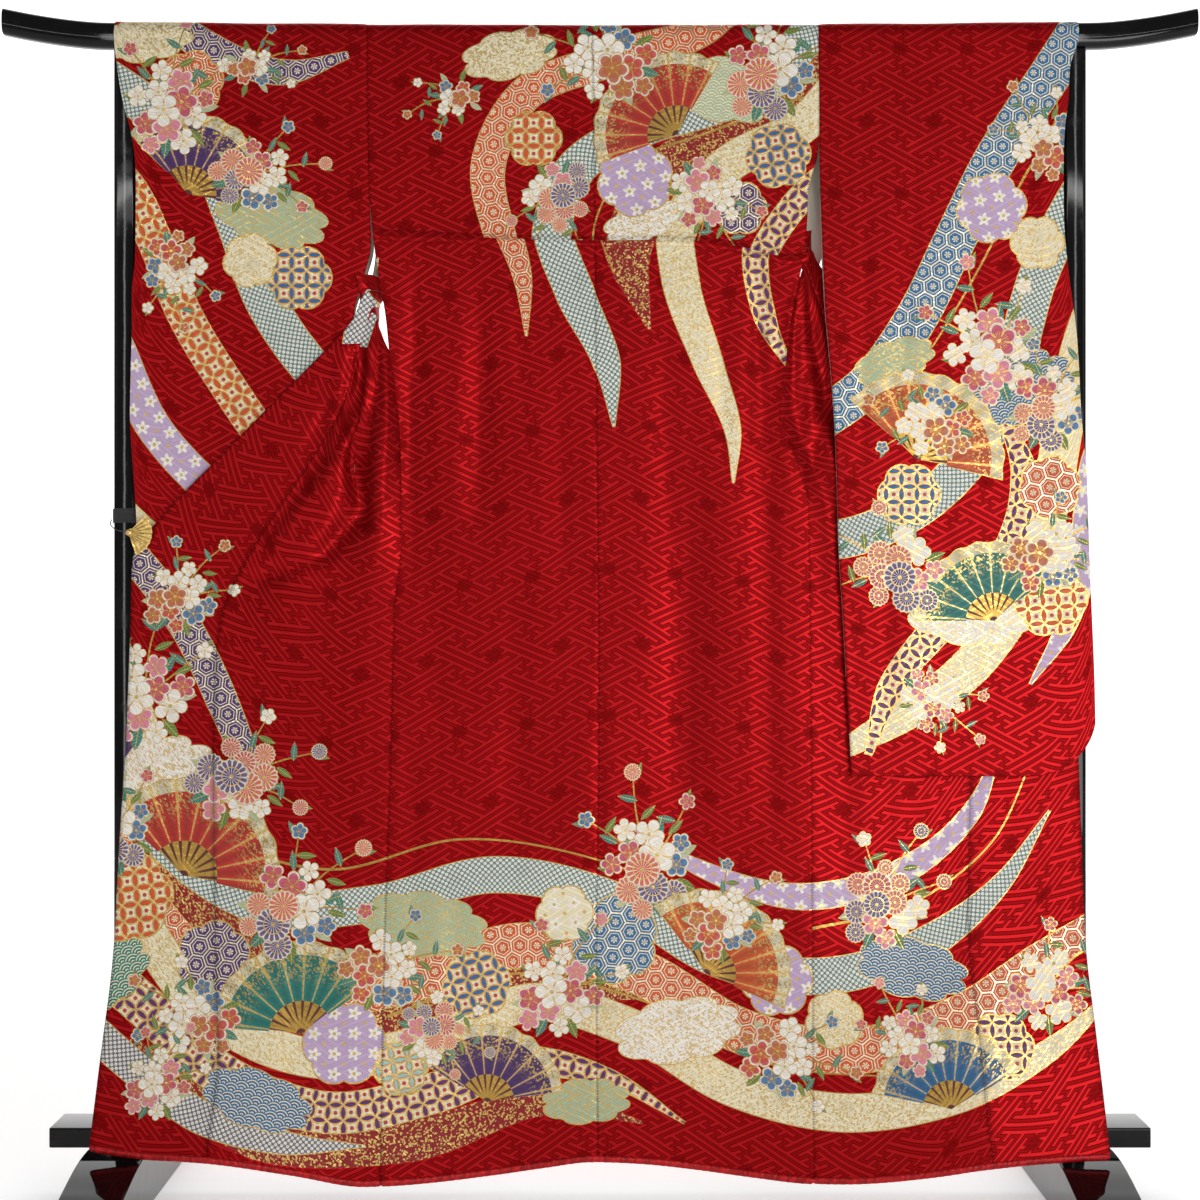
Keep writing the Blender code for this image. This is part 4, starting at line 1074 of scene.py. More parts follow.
# The silk's own figure is woven in: satin key fret on a duller ground, with small flower heads.
# The colours are dyed and painted on it, and the outlines and flecks are metal leaf.
WHITE, CREAM = pigment("white"), pigment("cream")
LEAF_GOLD = (0.62, 0.42, 0.13)
# In millimetres: the fret's unit and the heads' repeat, each across and up, how far from a seam
# the tint's alpha counts, for the painted seam shade and the stitches, and how far in and apart they lie.
FRET_ACROSS, FRET_UP = 19.2, 10.4
HEADS_ACROSS, HEADS_UP = 96.0, 208.0
SEAM_REACH = 20
STITCH_IN, STITCH_APART = 1.7, 3.6


def woven(start):
    """The weave at a point: masks of the fret's lines, of their dark edges and of the flower heads.

    Cloth millimetres x, y become a = x/19.2 + y/10.4 and b = x/19.2 - y/10.4. Each square of five
    by five units of a and b holds one key, mirrored in every second square. Its strokes are where
    the least distance to the key's few segments is small.
    """
    place = start.layer("cloth")
    x, y = place.split(0) / MM, place.split(1) / MM
    a, b = x / FRET_ACROSS + y / FRET_UP, x / FRET_ACROSS - y / FRET_UP
    whole_a, whole_b = (a / 5).math("ROUND"), (b / 5).math("ROUND")
    first, second = (a - whole_a * 5).size(), (b - whole_b * 5).size()
    odd = ((whole_a + whole_b) / 2).math("FRACT").math("GREATER_THAN", 0.25)
    u = first + (second - first) * odd
    v = second + (first - second) * odd
    stroke = u.least((u - 1).size())
    stroke = stroke.least((v - 2).size().most(1 - u).most(u - 2))
    stroke = stroke.least(v.most(1 - u)).least((v - 1).size().most(2 - u))
    heads = []
    for shift_x, shift_y in ((0.0, 0.0), (HEADS_ACROSS / 2, HEADS_UP / 2)):
        px = (x - shift_x).centred(HEADS_ACROSS) * HEADS_ACROSS
        py = (y - shift_y).centred(HEADS_UP) * HEADS_UP
        ruffle = py.turn(px).wave(9)
        far = px.far(py * 1.25)
        rays = 0.55 + 0.45 * py.turn(px).wave(26).step(-0.3, 0.3)
        heads.append((far + ruffle * 1.6).below(14.0, 9.0) * rays)
    head = heads[0].most(heads[1])
    fine = start.noise(place, 900.0, 1.0)
    line = stroke.below(0.26, 0.18) * (1 - head)
    edge = (stroke.below(0.39, 0.31) * (1 - line)).most(head * 0.5)
    return line, edge, fine


def silk_surface(start, colour):
    """Base colour, roughness and normal of silk in a colour, its figure showing through in painted sheen and
    shade.

    Painted shade darkens it along its seams, and short stitches lie beside them.
    """
    line, edge, fine = woven(start)
    cloudy = start.noise(start.place(), 5.0).step(0.3, 0.7)
    beside = start.node("VertexColor", {"layer_name": "tint"}, {}, 1) * SEAM_REACH
    along = start.layer("cloth").split(1) / MM
    # Painted shade: the colour darkens within 1.5 mm of a seam, in the seam's groove.
    painted_seam_shade = beside.below(1.5, 0.3)
    stitch = (beside - STITCH_IN).size().below(0.7, 0.4)
    stitch = stitch * (along / STITCH_APART).centred().size().below(0.24, 0.16)
    # Painted sheen lightens the figure's satin lines; painted shade darkens their edges and the flower
    # heads.
    lift = 0.86 - painted_seam_shade * 0.45 - stitch * 0.5 + line * 0.06 - edge * 0.12
    lift = lift + (fine - 0.5) * 0.3 + cloudy * 0.08
    rough = 0.48 - line * 0.12 + (fine - 0.5) * 0.12
    relief = line * 0.00012 - edge * 0.00005 + fine * 0.00006
    return {"Base Color": colour.times(lift), "Roughness": rough, "Normal": bump(start, relief, 0.6)}


SILK_CONSTANTS = {"Sheen_Weight": 0.1, "Sheen_Roughness": 0.35, "Specular_IOR_Level": 0.3}
GROUND_CONSTANTS = {"Sheen_Weight": 0.15, "Sheen_Roughness": 0.3, "Sheen_Tint": (1.0, 0.12, 0.12, 1.0),
                    "Specular_IOR_Level": 0.3, "Specular_Tint": (1.0, 0.1, 0.1, 1.0), "Metallic": 0.45}
# Satin lines lighter by painted sheen, and their edges darker by painted shade, on the red ground.
GROUND, SATIN_LINE_SHEEN, SHADED_EDGE = (0.262, 0.0031, 0.0047), (0.372, 0.0078, 0.0102), (0.162, 0.0012, 0.0019)


def flecks(start, share):
    """Mask of small torn scraps of leaf that cover about a share of the cloth."""
    scraps = start.node("TexVoronoi", {}, {"Vector": start.layer("cloth"), "Scale": 420.0}, 1).split(0)
    return scraps.step(1 - share, 1 - share + 0.02)


def ground(start):
    """The red silk: satin lines lighter by painted sheen, edges and flower heads darker by painted shade."""
    line, edge, _ = woven(start)
    return silk_surface(start, edge.mix(line.mix(GROUND, SATIN_LINE_SHEEN), SHADED_EDGE))


def kanoko(start, tint, x, y):
    """Tied-dye spots: pale rounds with a dark dot in a darker net, in rows on the bias, 5.9 mm apart."""
    far = (x + y).centred(0.083).far((x - y).centred(0.083))
    net = tint.times(0.42)
    return far.below(0.1, 0.05).mix(far.below(0.43, 0.33).mix(net, WHITE), net), None


def kikko(start, tint, x, y):
    """Tortoiseshell: hexagons 25 mm across with a second hexagon and a flower inside."""
    x, y = x / 0.25, y / 0.25
    first = (x.centred(), y.centred(1.732) * 1.732)
    second = ((x + 0.5).centred(), (y + 0.866).centred(1.732) * 1.732)
    nearer = first[0].far(first[1]).math("GREATER_THAN", second[0].far(second[1]))
    px = first[0] + (second[0] - first[0]) * nearer
    py = first[1] + (second[1] - first[1]) * nearer
    sides = px.size().most(px.size() * 0.5 + py.size() * 0.866)
    line = sides.step(0.45, 0.47).most((sides - 0.345).size().below(0.024))
    petals = px.far(py).below(0.2) * (py.turn(px).wave(6) * 0.5 + 0.5).step(0.2, 0.5)
    return line.most(petals).mix(tint, CREAM), sides.step(0.44, 0.46)


def shippo(start, tint, x, y):
    """Linked circles, 22 mm apart: pale petals where two of them overlap."""
    px, py = x.centred(0.22).size(), y.centred(0.22).size()
    near = (0.5 - px).far(0.5 - py)
    beside = (0.5 + px).far(0.5 - py).least((0.5 - px).far(0.5 + py))
    line = (near - 0.707).size().below(0.05).most((beside - 0.707).size().below(0.05))
    flowers = near.below(0.13 + px.turn(py).wave(8) * 0.05, 0.1)
    colour = flowers.mix(beside.below(0.7).mix(CREAM, tint), (0.46, 0.045, 0.03))
    return line.mix(colour, LEAF_GOLD), line


def waves(start, tint, x, y):
    """Overlapping rows of round waves, 26 mm wide, each of three lines."""
    x, y = x / 0.26, y / 0.26
    row = (y / 0.25).math("FLOOR") - 1
    odd = (row / 2).math("FRACT").math("GREATER_THAN", 0.25) * 0.5
    lower = (x + odd).centred().far(y - row * 0.25)
    upper = (x + odd + 0.5).centred().far(y - row * 0.25 - 0.25)
    far = upper + (lower - upper) * lower.math("LESS_THAN", 0.5)
    line = (far * 6.2).centred().size().below(0.2)
    return line.mix(tint, CREAM), None


def floret(start, tint, x, y):
    """Small five-petalled flowers, 28 mm apart, with dots between."""
    px, py = x.centred(0.28), y.centred(0.28)
    far = px.far(py)
    round_about = py.turn(px).wave(5) * 0.09 + 0.27
    petals = (far - round_about).step(-0.02, 0.01)
    dots = (0.5 - px.size()).far(0.5 - py.size()).below(0.1)
    middle = far.below(0.09)
    return middle.most(dots).mix(petals.mix(WHITE, tint), LEAF_GOLD), middle


def gilded(start, tint, x, y):
    """A plain colour strewn with scraps of leaf."""
    scraps = flecks(start, 0.34) * 0.8
    return scraps.mix(tint, LEAF_GOLD), scraps


def sand(start, tint, x, y):
    """Gold sand strewn on the bare red ground."""
    scraps = flecks(start, 0.3)
    return scraps.mix(GROUND, LEAF_GOLD), scraps


def foil(start, tint, x, y):
    """Thin lines and rims of leaf on glue."""
    worn = start.noise(start.place(), 160.0)
    return worn.step(0.62, 0.7).mix(tint, (0.42, 0.2, 0.08)), worn.below(0.7, 0.6)


# Nine folds in a fan opened to 150 degrees.
FOLD_TURNS = 21.6


def paper_fan(start, tint, x, y):
    """Fan paper: nine folds, a pale band along the edge and drifts of leaf."""
    far, fold = x.far(y), y.turn(x).wave(FOLD_TURNS)
    scraps = flecks(start, 0.3) * far.step(0.5, 0.8)
    colour = far.step(0.86, 0.87).mix(tint, CREAM)
    colour = (fold.step(0.86, 0.98) * 0.8).mix(scraps.mix(colour, LEAF_GOLD), LEAF_GOLD)
    return colour.times(0.84 + fold * 0.16), scraps.most(fold.step(0.86, 0.98))


def sticks(start, tint, x, y):
    """A fan's gilt sticks, with gaps and a dark pin."""
    gap = y.turn(x).wave(FOLD_TURNS).step(0.3, 0.7) * x.far(y).step(0.1, 0.2)
    dark = gap.most(x.far(y).below(0.06))
    return dark.mix(tint, (0.1, 0.02, 0.015)), 1 - dark


def blossom(count, inner):
    """A pattern of petals for a flower, with pale margins and a gold middle.

    Plum and cherry have gold lines between the petals and stamens as far as inner, and the
    chrysanthemum of many petals has a gold ring there.
    """

    def pattern(start, tint, x, y):
        far, turn = x.far(y), y.turn(x)
        many = count > 6
        depth = 0.16 if many else 0.33
        rim = 1 - depth + turn.wave(count / 2).size() * depth - far
        if many:
            margin = rim.below(0.1, 0.04).most(turn.wave(count).below(-0.5, -0.8))
            line = (far - inner).size().below(0.035)
        else:
            margin = rim.below(0.14, 0.08)
            line = turn.wave(count).below(-0.9, -0.97) * far.step(0.2, 0.3)
            line = line.most(turn.wave(25).step(0.55, 0.9) * far.below(inner, inner - 0.05))
        colour = (margin * 0.85).mix((far.step(0.15, 0.95) * 0.12).mix(tint, WHITE), WHITE)
        gilt = far.below(0.13, 0.1).most(line)
        return gilt.mix(colour, LEAF_GOLD), gilt

    return pattern


def leaf_blade(start, tint, x, y):
    """A leaf with a gold midrib and side veins."""
    rib = y.size().below(0.018, 0.008)
    veins = ((x - y.size() * 0.8) * 7).centred().size().below(0.07) * 0.7
    return rib.most(veins).mix(tint, LEAF_GOLD), rib


PATTERNS = {
    "foil": foil, "kanoko": kanoko, "kikko": kikko, "shippo": shippo, "waves": waves, "floret": floret,
    "gilded": gilded, "sand": sand, "fan": paper_fan, "sticks": sticks, "plum": blossom(5, 0.45),
    "cherry": blossom(5, 0.55), "mum": blossom(16, 0.52), "leaf": leaf_blade,
}


def painted(pattern):
    """Paint for silk under a pattern, which gives its colour and a mask of its metal."""

    def paint(start):
        tint = start.node("VertexColor", {"layer_name": "tint"}, {})
        own = start.layer("motif")
        colour, metal = pattern(start, tint, own.split(0), own.split(1))
        sockets = silk_surface(start, colour)
        if metal is not None:
            sockets["Metallic"] = metal * 0.75
            sockets["Roughness"] = sockets["Roughness"] - metal * 0.1
        return sockets

    return paint


FINISHES = {"ground": finish("red_silk", ground, **GROUND_CONSTANTS)}
for name, pattern in PATTERNS.items():
    FINISHES[name] = finish("silk_" + name, painted(pattern), **SILK_CONSTANTS)


def lined(start):
    """Plain silk lining: off-white inside, and red for the hand's breadth that shows at the hem."""
    place = start.place()
    fine = start.noise(place, 700.0)
    low = place.split(2).below(0.752, 0.748)
    return {
        "Base Color": low.mix((0.66, 0.61, 0.53), (0.42, 0.008, 0.012)),
        "Roughness": 0.5 + fine * 0.2,
        "Normal": bump(start, fine * 0.00008, 0.5),
    }


FINISHES["lining"] = finish("silk_lining", lined, Sheen_Weight=0.2, Sheen_Roughness=0.4)


PAINT_MARGIN = 50


def clipped(outline, low, high):
    """The part of an outline that lies in a box, or nothing."""
    for axis, bound, way in ((0, low[0], 1), (0, high[0], -1), (1, low[1], 1), (1, high[1], -1)):
        outline = trimmed(outline, (outline[:, axis] - bound) * way)
        if outline is None:
            return None
    return outline


def inside(outline, spots):
    """Which spots an outline winds round, counted by its edges' crossings of a level line from each."""
    after = np.roll(outline, -1, axis=0)
    x, y = spots[:, :1], spots[:, 1:]
    ahead, away_x, away_y = after - outline, x - outline[:, 0], y - outline[:, 1]
    left = ahead[:, 0] * away_y - away_x * ahead[:, 1]
    rising = (outline[:, 1] <= y) & (after[:, 1] > y) & (left > 0)
    falling = (outline[:, 1] > y) & (after[:, 1] <= y) & (left < 0)
    return rising.sum(axis=1) != falling.sum(axis=1)


def closed_line(first, count):
    """Edges of a closed line through corners numbered on from the first."""
    numbers = np.arange(count)
    return np.stack([numbers, np.roll(numbers, -1)], axis=1) + first


def bare(count, paint="ground"):
    """Values for the corners of unpainted triangles, own coordinates and tint, and their paint."""
    return np.zeros((count, 3, 2)), np.ones((count, 3, 4)), np.full(count, paint, dtype=object)


class Garment:
    """One finished piece of silk in the making: its panels' corners, faces, paints and coordinates."""

    def __init__(self):
        self.parts = []
        self.count = 0

    def add(self, points, normals, cloth, own, tint, faces, paints):
        """Adds corners, and triangles by the numbers of their corners, with values for each face corner."""
        self.parts.append((points, normals, cloth, own, tint, faces + self.count, paints))
        self.count += len(points)

    def panel(self, panel, near=(), far=()):
        """Adds a panel, cut into triangles along its grid points and the outlines painted on it.

        The motifs' outlines are laid flat on the cloth, the triangles are made there between all
        the points, each takes the last motif round its middle, and all go back to the hung shape.
        """
        v, u = np.meshgrid(panel.v, panel.u, indexing="ij")
        nodes = np.stack([u, v], axis=2)
        border = np.concatenate([nodes[0], nodes[1:, -1], nodes[-1, -2::-1], nodes[-2:0:-1, 0]])
        loose = nodes[1:-1, 1:-1].reshape(-1, 2)
        corners = [border, loose]
        edges = [closed_line(0, len(border))]
        used = []
        total = len(border) + len(loose)
        low, high = nodes[0, 0], nodes[-1, -1]
        for side, seen in panel.shown.items():
            view = panel.points[seen][..., [0, 2]].reshape(-1, 2)
            box_low, box_high = view.min(axis=0) - PAINT_MARGIN, view.max(axis=0) + PAINT_MARGIN
            for motif in near if side == "near" else far:
                outline = clipped(motif.outline, box_low, box_high)
                if outline is None:
                    continue
                flat = panel.locate(outline, side)
                if (flat.max(axis=0) < low).any() or (flat.min(axis=0) > high).any():
                    continue
                corners.append(flat)
                edges.append(closed_line(total, len(flat)))
                used.append((motif, flat, side))
                total += len(flat)
        spots = [Vector(spot) for spot in np.concatenate(corners).tolist()]
        flat, _, faces, *_ = delaunay_2d_cdt(spots, np.concatenate(edges).tolist(), [], 0, 1e-5, False)
        flat, faces = np.array([tuple(spot) for spot in flat]), np.array(faces)
        middle = flat[faces].mean(axis=1)
        within = ((middle > low) & (middle < high)).all(axis=1)
        faces, middle = faces[within], middle[within]
        needed = np.unique(faces)
        renumber = np.zeros(len(flat), int)
        renumber[needed] = np.arange(len(needed))
        faces, flat = renumber[faces], flat[needed]
        i, j = panel.rows_at(flat)
        points = panel.between(panel.points, i, j)
        normals = unit(panel.between(panel.normals, i, j))
        own, tint, paints = bare(len(faces))
        views = {side: panel.seen_at(flat, points, side) for side in panel.shown}
        for motif, outline, side in used:
            close = ((middle > outline.min(axis=0)) & (middle < outline.max(axis=0))).all(axis=1)
            close = close.nonzero()[0]
            chosen = close[inside(outline, middle[close])]
            if len(chosen):
                own[chosen] = motif.own(views[side][faces[chosen]].reshape(-1, 2)).reshape(-1, 3, 2)
                tint[chosen, :, :3] = pigment(motif.colour)
                paints[chosen] = motif.paint
        beside = panel.between(panel.edge[..., None], i, j)[:, 0]
        tint[..., 3] = np.clip(beside / SEAM_REACH, 0, 1)[faces]
        self.wall(points, normals, panel.between(panel.cloth, i, j) * MM, faces, own, tint, paints)

    def wall(self, points, normals, cloth, faces, own, tint, paints):
        """Adds triangles as a wall: painted outside, lined inside and closed round the edges."""
        first, second, third = (points[faces[:, k]] for k in range(3))
        if np.sum(np.cross(second - first, third - first) * normals[faces[:, 0]]) < 0:
            faces, own, tint = faces[:, ::-1], own[:, ::-1], tint[:, ::-1]
        self.add(points + normals * HALF_CLOTH, normals, cloth, own, tint, faces, paints)
        own, _, lining = bare(len(faces), "lining")
        self.add(points - normals * HALF_CLOTH, -normals, cloth, own, tint, faces[:, ::-1], lining)
        edges = np.concatenate([faces[:, [k, (k + 1) % 3]] for k in range(3)])
        code = edges[:, 0] * len(points) + edges[:, 1]
        rim = edges[~np.isin(code, edges[:, 1] * len(points) + edges[:, 0])]
        count = len(points)
        strips = np.concatenate([
            np.stack([rim[:, 1], rim[:, 0], rim[:, 0] + count], axis=1),
            np.stack([rim[:, 1], rim[:, 0] + count, rim[:, 1] + count], axis=1),
        ])
        none = np.zeros((0, 3))
        own, tint, paints = bare(len(strips))
        self.add(none, none, none[:, :2], own, tint, strips - 2 * count, paints)

    def make(self, name, node):
        """The finished piece in place of its node."""
        points, normals, cloth, own, tint, faces, paints = map(np.concatenate, zip(*self.parts))
        kinds = ["ground"] + sorted(set(paints) - {"ground"})
        mesh = bpy.data.meshes.new(name)
        mesh.from_pydata(points * MM, [], faces)
        for kind in kinds:
            mesh.materials.append(FINISHES[kind])
        numbers = {kind: number for number, kind in enumerate(kinds)}
        mesh.polygons.foreach_set("material_index", [numbers[kind] for kind in paints])
        for layer, values in (("cloth", cloth[faces]), ("motif", own)):
            flat = mesh.uv_layers.new(name=layer).data
            flat.foreach_set("uv", values.astype(np.float32).ravel())
        colours = mesh.color_attributes.new(name="tint", type="FLOAT_COLOR", domain="CORNER")
        colours.data.foreach_set("color", tint.astype(np.float32).ravel())
        mesh.shade_smooth()
        mesh.normals_split_custom_set_from_vertices(normals.tolist())
        return fitted(name, mesh, node)


# The body: two lengths, each a back and a front in one, joined by the centre back seam. They
# lie over the rail. The backs fall straight to the plank and are spread where they meet the
# feet. Below the armholes each back is sewn to its front.
BACK_COLUMNS = 14
FRONT_COLUMNS = 10
OVERLAP_COLUMNS = 4

# Side seams of the back: height and x, from the shoulder down.
SIDE = {
    "left": [
        (1683, -333), (1499, -331), (1385, -325), (1370, -320), (1334, -318), (1294, -312), (1270, -307),
        (1215, -301), (1089, -287), (931, -285), (865, -291), (791, -294), (632, -297), (361, -305),
        (1, -309),
    ],
    "right": [
        (1683, 313), (1506, 314), (1482, 305), (1446, 298), (1377, 295), (1316, 284), (1255, 272),
        (1208, 266),
        (1124, 258), (1058, 280), (988, 298), (576, 300), (1, 300),
    ],
}

# Fronts from the neck down, above the side seam: a row for each section across. It gives the
# side edge, the seam with the overlap panel and the outer edge as x, y, height, and the fold depth.
FREE = {
    "left": [
        (-333, 19.4, 1658, -105, 19.4, 1658, -105, 19.4, 1658, 0),
        (-331.5, 20, 1567, -160, 21, 1577, -158, 21, 1578, 0),
        (-329, 21, 1477, -222, 26, 1487, -212, 27, 1489, 2),
        (-325, 23, 1401, -278, 27, 1409, -264, 28, 1411, 3),
        (-326, 24, 1353, -305, 24, 1355, -290, 26, 1356, 3),
        (-332, 21, 1304, -311, 16, 1313, -296, 13, 1318, 2),
        (-332, 15, 1268, -316, 3, 1286, -306, -5, 1298, 2),
        (-320, -8, 1242, -319, -12, 1279, -318, -14, 1302, 2),
        (-311.5, -25, 1229, -324, -28, 1275, -331, -30.5, 1302, 2),
    ],
    "right": [
        (313, 19.4, 1658, 81, 19.4, 1658, 81, 19.4, 1658, 0),
        (314, 19, 1581, 128, 21, 1591, 126, 21, 1592, 0),
        (318, 18, 1511, 190, 26, 1521, 182, 27, 1523, 2),
        (319, 17, 1451, 262, 27, 1457, 249, 28, 1459, 3),
        (320, 16, 1409, 283, 22, 1411, 269, 24, 1412, 3),
        (321, 14, 1366, 290, 12, 1375, 275, 9, 1380, 2),
        (310, 8, 1332, 289, -2, 1350, 279, -10, 1362, 2),
        (292, -8, 1311, 289, -12, 1342, 287, -14, 1363, 2),
        (286, -17, 1318, 293, -13, 1341, 298, -10, 1365, 1),
    ],
}

# The same below, where the side edge is sewn to the back: its height only, then the other two.
SEWN = {
    "left": [
        (1211, -343, -31, 1221, -353, -32, 1259, 6),
        (1149, -361, -31, 1154, -416, -31, 1192, 13),
        (1079, -391, -31, 1093, -478, -31, 1130, 15),
        (999, -428, -31, 1036, -543, -31, 1064, 12),
        (930, -474, -31.5, 967, -617, -31, 988, 8),
        (866, -511, -33, 905, -667, -31.5, 918, 5),
        (791, -541, -34, 833, -670, -32, 831, 4),
        (632, -550, -41, 653, -675, -42, 653, 3),
        (505, -547, -58, 510, -681, -59, 510, 2),
        (358, -541, -78, 353, -686, -81, 351, 2),
        (218, -535, -97, 220, -699, -101, 219, 1),
        (46, -548, -119.4, 87, -710, -121.6, 101, 0),
    ],
    "right": [
        (1311, 305, -10, 1313, 311, -3, 1349, 1),
        (1255, 321, -9, 1267, 345, -5, 1302, 5),
        (1198, 341, -12, 1208, 394, -9, 1247, 7),
        (1124, 371, -14, 1139, 458, -12, 1173, 9),
        (1055, 413, -17, 1069, 532, -16, 1098, 8),
        (988, 452, -20, 1004, 596, -19, 1034, 7),
        (911, 487, -23, 931, 650, -21, 960, 5),
        (832, 515, -26, 852, 673, -21.5, 881, 4),
        (703, 529, -32, 713, 680, -29, 723, 3),
        (576, 527, -39, 576, 684, -38, 576, 2),
        (379, 520, -70, 379, 685, -72, 379, 1),
        (258, 530, -99, 258, 693, -103, 258, 1),
        (151, 537, -120, 156, 701, -125, 156, 0),
        (52, 545, -132.5, 82, 706, -136.5, 92, 0),
    ],
}

# The sewn rows start at SEWN_FROM. Above the last PLAIN_ROWS rows, the fronts' grids are finer.
SEWN_FROM = 9
PLAIN_ROWS = 8
# The first rows of the overlap panel, and of the front where it no longer shows from the far side.
OVERLAP_FROM = 2
FAR_TO = 4

# Ridges across a front: place from the side seam to the overlap seam, and half width.
RIDGES = [(0.2, 0.12), (0.65, 0.13)]
# Places of the back's rows above its sewn edge, as shares of the way from there to the rail.
FREE_ROWS = [1.0, 0.85, 0.68, 0.52, 0.38, 0.26, 0.12]


def front_sections(half):
    """All sections of a front, the sewn rows with their side edge set beside the back's."""
    rows = [list(row) for row in FREE[half]]
    for height, *others in SEWN[half]:
        x = float(by_height(SIDE[half], height))
        depth = float(back_depth(x, height, half)) + EDGE_LAP * 0.6
        rows.append([x - math.copysign(EDGE_LAP, x), depth, height, *others])
    return np.array(rows, float)


def front_grid(sections):
    """The front and its overlap panel as one grid: straight between the three edges of each section,
    raised by its depth in a bell at each ridge, with the last rows drawn to the hem line.
    """
    fan_rows = len(sections) - PLAIN_ROWS
    places = np.concatenate([np.arange(0.5, fan_rows, 0.5), np.arange(fan_rows, len(sections))])
    keys = travelled(sections[:, 3:6])
    rows = spline(keys, sections, np.interp(places, np.arange(len(sections)), keys))
    side, seam, edge, depth = rows[:, None, 0:3], rows[:, None, 3:6], rows[:, None, 6:9], rows[:, 9]
    share = np.linspace(0, 1, FRONT_COLUMNS + 1)
    inner = side * (1 - share[None, :, None]) + seam * share[None, :, None]
    out = np.linspace(0, 1, OVERLAP_COLUMNS + 1)[1:]
    outer = seam * (1 - out[None, :, None]) + edge * out[None, :, None]
    grid = np.concatenate([inner, outer], axis=1)
    ridge = sum(np.exp(-(((share - place) / width) ** 2)) for place, width in RIDGES)
    ridge = ridge * np.minimum(share / 0.1, 1)
    outward = unit(np.cross(np.gradient(inner, axis=1), np.gradient(inner, axis=0)))
    grid[:, : FRONT_COLUMNS + 1] += outward * (depth[:, None] * ridge)[:, :, None]
    foot = hem_height(grid[-1, :, 0]) + ROLL_HEIGHT
    grid[-3:, :, 2] += (foot - grid[-1, :, 2])[None, :] * np.array([0.2, 0.5, 1.0])[:, None]
    return grid, places


def back_grid(half, sewn):
    """The back from the hem up to the rail, with a row at each height of its sewn side edge.

    Across a row, x goes straight from the side seam to the centre seam, and y follows from both.
    """
    free = sewn[0] + (RAIL_Z - sewn[0]) * np.array(FREE_ROWS)
    heights = np.concatenate([free, sewn])[::-1, None]
    share = np.linspace(0, 1, BACK_COLUMNS + 1)
    side = SIDE[half]
    low = by_height(side, heights[0, 0]) * (1 - share) + by_height(CENTRE, heights[0, 0]) * share
    foot = hem_height(low) + ROLL_HEIGHT
    z = RAIL_Z + (foot - RAIL_Z) * (RAIL_Z - heights) / (RAIL_Z - heights[0, 0])
    z = z * share + heights * (1 - share)
    z[0] = foot
    x = by_height(side, heights) * (1 - share) + by_height(CENTRE, z) * share
    y = back_depth(x, z, half)
    for wave_x, wave_z, half_x, half_z, depth in BACK_WAVES:
        y = y + depth * np.exp(-(((x - wave_x) / half_x) ** 2) - ((z - wave_z) / half_z) ** 2)
    return np.stack([x, y, z], axis=2)


# Creases of the backs: x and height at both ends, half width and depth.
BACK_CREASES = [
    (-169, 1300, -173, 985, 15, 3.2), (-262, 1330, -276, 1010, 11, 3.0), (-222, 1230, -214, 1080, 8, 1.4),
    (-120, 1330, -112, 1120, 10, 1.2), (258, 1280, 262, 1130, 12, 3.2), (222, 1320, 232, 1090, 10, 2.2),
    (170, 1300, 178, 1060, 13, 1.6), (90, 1240, 96, 960, 16, 1.2), (-60, 1200, -52, 900, 18, 1.1),
    (-230, 960, -238, 640, 20, 1.6), (-120, 900, -128, 520, 22, 1.3), (110, 900, 118, 520, 24, 1.4),
    (236, 960, 240, 560, 18, 1.6), (-270, 700, -262, 380, 14, 1.2), (40, 620, 36, 300, 20, 0.9),
    (-205, 480, -196, 180, 20, 1.2), (180, 470, 176, 160, 22, 1.2), (-70, 1640, -74, 1480, 16, 0.8),
    (120, 1645, 128, 1470, 14, 0.9), (240, 1640, 246, 1500, 12, 1.0), (-250, 1640, -256, 1470, 14, 1.0),
    (-180, 1600, -172, 1420, 10, 0.6),
]

# The tuck's lip from top to bottom: how far it stands out from the back, and how far it lies down.
TUCK_LIP = [(0.6, -6), (2.0, -2), (3.0, 3), (2.9, 7), (0.8, 8.5)]
TUCK_COLUMNS = 13
# The back's row at the waist, counted down from the rail.
WAIST_ROW = 5
TUCK_ORIGIN = (31, 40)

fronts, backs, panels = {}, {}, {}
for half in ("left", "right"):
    fronts[half] = grid, places = front_grid(front_sections(half))
    back = back_grid(half, grid[places >= SEWN_FROM, 0, 2])
    far = back[-1:] * (1, -1, 1)
    over = over_rail(back[-1, :, 0], back[-1, :, 0])
    backs[half] = rows = raised(np.vstack([back, over, far, far + (0, 0, NECK_Z - RAIL_Z)]))
    panels[half] = panel = Panel(rows, {"near": (0, len(back) - 1)})
    panel.press(BACK_CREASES)
    panel.sew()
    waist = rows[len(back) - WAIST_ROW]
    tuck_x = np.linspace(waist[0, 0], waist[-1, 0], TUCK_COLUMNS)
    tuck_z = spline(*zip(*TUCK), tuck_x)
    lip = [[tuck_x, back_depth(tuck_x, tuck_z - down, half) - out, tuck_z - down] for out, down in TUCK_LIP]
    lip = raised(np.transpose(lip, (0, 2, 1)))
    body = Garment()
    body.panel(panel, skirt + shoulders)
    body.panel(Panel(lip, {"near": (0, len(TUCK_LIP) - 1)}, (False, False), TUCK_ORIGIN), shoulders)
    body = body.make("back_" + half, "body_" + half)


